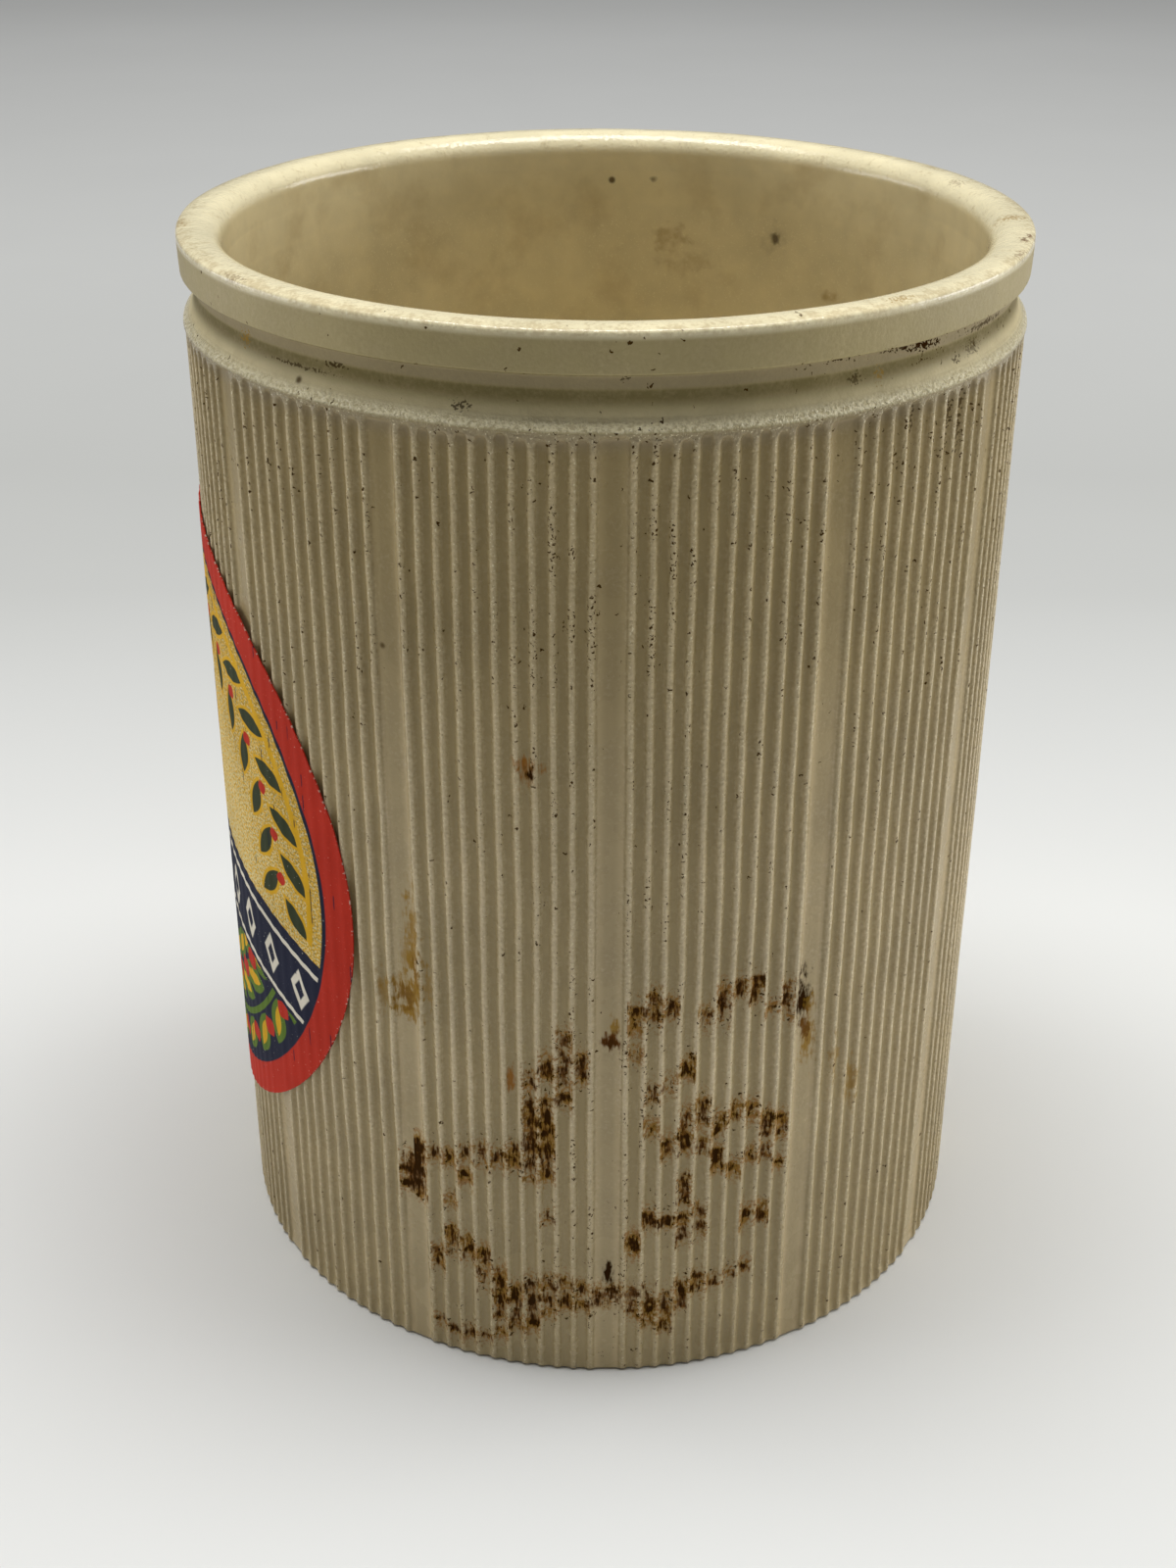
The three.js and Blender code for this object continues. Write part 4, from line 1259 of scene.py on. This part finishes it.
def softbox(name, width, depth, power, location):
    """A soft oblong lamp that faces the jar."""
    lamp = bpy.data.lights.new(name, "AREA")
    lamp.shape, lamp.size, lamp.size_y, lamp.energy = "RECTANGLE", width, depth, power
    lamp_object = bpy.data.objects.new(name, lamp)
    lamp_object.location = location
    lamp_object.rotation_euler = (Vector(LAMP_AIM) - Vector(location)).to_track_quat("-Z", "Y").to_euler()
    bpy.context.scene.collection.objects.link(lamp_object)


def rib_values(shape, **changes):
    """Values of the rib tree's inputs for the pot, with changes for other pieces."""
    values = {
        "Pitch": 2 * math.pi * shape.crest_radius / place_count(shape),
        "Depth": shape.flute_depth,
        "Crest width": shape.crest_width,
        "Rib width": shape.rib_width,
        "Top": shape.flute_top,
        "Run-out": shape.run_out,
        "Wobble": shape.wobble * 2,
        "Wobble size": 14 * MM,
        "Wander": 0.22,
        "Group": shape.group_places,
        "Places": place_count(shape),
        "Seed": 7,
    }
    values.update(changes)
    return values


class JAMJAR_OT_stoneware_jar(bpy.types.Operator):
    """Turn the pot and press its ribs"""

    bl_idname = "jamjar.stoneware_jar"
    bl_label = "Stoneware jar"

    def execute(self, context):
        shape, finish = context.scene.jar_shape, context.scene.jar_finish
        values = rib_values(
            shape, **{"Material": glazed_stoneware(shape, finish), "Foot material": bare_stoneware(finish)},
        )
        jar = press("glazed_jar", jar_mesh(shape), pressed_ribs(), values)
        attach(jar, "root")
        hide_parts("stoneware_jar")
        return {"FINISHED"}


class JAMJAR_OT_paper_label(bpy.types.Operator):
    """Paste the printed oval over the ribs"""

    bl_idname = "jamjar.paper_label"
    bl_label = "Paper label"

    def execute(self, context):
        shape, label = context.scene.jar_shape, context.scene.label_shape
        paper = printed_paper(label)
        tree = bpy.data.node_groups.get("pressed_ribs")
        if tree is None:
            raise RuntimeError("make the jar before its label")
        values = rib_values(
            shape, **{"Depth": label.sag, "Wander": 0.0, "Material": paper, "Foot material": paper},
        )
        sheet = press("oval_label", label_mesh(shape, label), tree, values)
        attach(sheet, "root")
        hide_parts("paper_label")
        return {"FINISHED"}


class JAMJAR_OT_stage(bpy.types.Operator):
    """Lay the floor, hang the lamps and set the camera"""

    bl_idname = "jamjar.stage"
    bl_label = "Stage"

    def execute(self, context):
        look, scene = context.scene.stage_look, context.scene
        mesh = bpy.data.meshes.new("floor")
        corners = [(x * FLOOR_HALF, y * FLOOR_HALF, 0.0) for x, y in ((-1, -1), (1, -1), (1, 1), (-1, 1))]
        mesh.from_pydata(corners, [], [(0, 1, 2, 3)])
        mesh.materials.append(matt_floor(look))
        floor = bpy.data.objects.new("floor", mesh)
        scene.collection.objects.link(floor)

        softbox("top_softbox", 1.0, 0.4, look.top_power, (0.0, 0.05, 1.1))
        softbox("left_softbox", 0.4, 0.24, look.side_power, (-0.6, 0.1, 0.12))
        softbox("right_softbox", 0.4, 0.24, look.side_power * RIGHT_LAMP, (0.6, 0.1, 0.12))
        world = bpy.data.worlds.new("room")
        world.use_nodes = True
        world.node_tree.nodes.clear()
        even = add(world.node_tree, "Background", {"Color": (1.0, 1.0, 1.0, 1.0), "Strength": look.room})
        add(world.node_tree, "OutputWorld", {"Surface": even})
        scene.world = world
        scene.view_settings.view_transform = "Standard"

        camera = bpy.data.cameras.new("camera")
        camera.sensor_width, camera.lens = 36.0, look.camera_focal
        camera.clip_start = 0.01
        view = bpy.data.objects.new("camera", camera)
        view.location = (0.0, -look.camera_back, look.camera_height)
        facing = Euler((math.pi / 2 - look.camera_pitch, 0.0, look.camera_turn)).to_matrix()
        view.rotation_euler = (facing @ Matrix.Rotation(look.camera_roll, 3, "Z")).to_euler()
        scene.collection.objects.link(view)
        scene.camera = view
        return {"FINISHED"}


class JAMJAR_PT_panel(bpy.types.Panel):
    """Sizes, colours and steps of the jam jar"""

    bl_idname = "JAMJAR_PT_panel"
    bl_label = "Stoneware jam jar"
    bl_space_type = "VIEW_3D"
    bl_region_type = "UI"
    bl_category = "Jam Jar"

    def draw(self, context):
        scene = context.scene
        for operator, settings in (
            ("jamjar.stoneware_jar", (scene.jar_shape, scene.jar_finish)),
            ("jamjar.paper_label", (scene.label_shape,)),
            ("jamjar.stage", (scene.stage_look,)),
        ):
            box = self.layout.box()
            for group in settings:
                for name in group.__annotations__:
                    box.prop(group, name)
            box.operator(operator)


CLASSES = (
    JarShape, JarFinish, LabelShape, StageLook,
    JAMJAR_OT_stoneware_jar, JAMJAR_OT_paper_label, JAMJAR_OT_stage, JAMJAR_PT_panel,
)


def register():
    for cls in CLASSES:
        bpy.utils.register_class(cls)
    bpy.types.Scene.jar_shape = bpy.props.PointerProperty(type=JarShape)
    bpy.types.Scene.jar_finish = bpy.props.PointerProperty(type=JarFinish)
    bpy.types.Scene.label_shape = bpy.props.PointerProperty(type=LabelShape)
    bpy.types.Scene.stage_look = bpy.props.PointerProperty(type=StageLook)


def unregister():
    del bpy.types.Scene.stage_look
    del bpy.types.Scene.label_shape
    del bpy.types.Scene.jar_finish
    del bpy.types.Scene.jar_shape
    for cls in reversed(CLASSES):
        bpy.utils.unregister_class(cls)


def main():
    register()
    bpy.ops.jamjar.stoneware_jar()
    bpy.ops.jamjar.paper_label()
    bpy.ops.jamjar.stage()


if __name__ == "__main__":
    main()
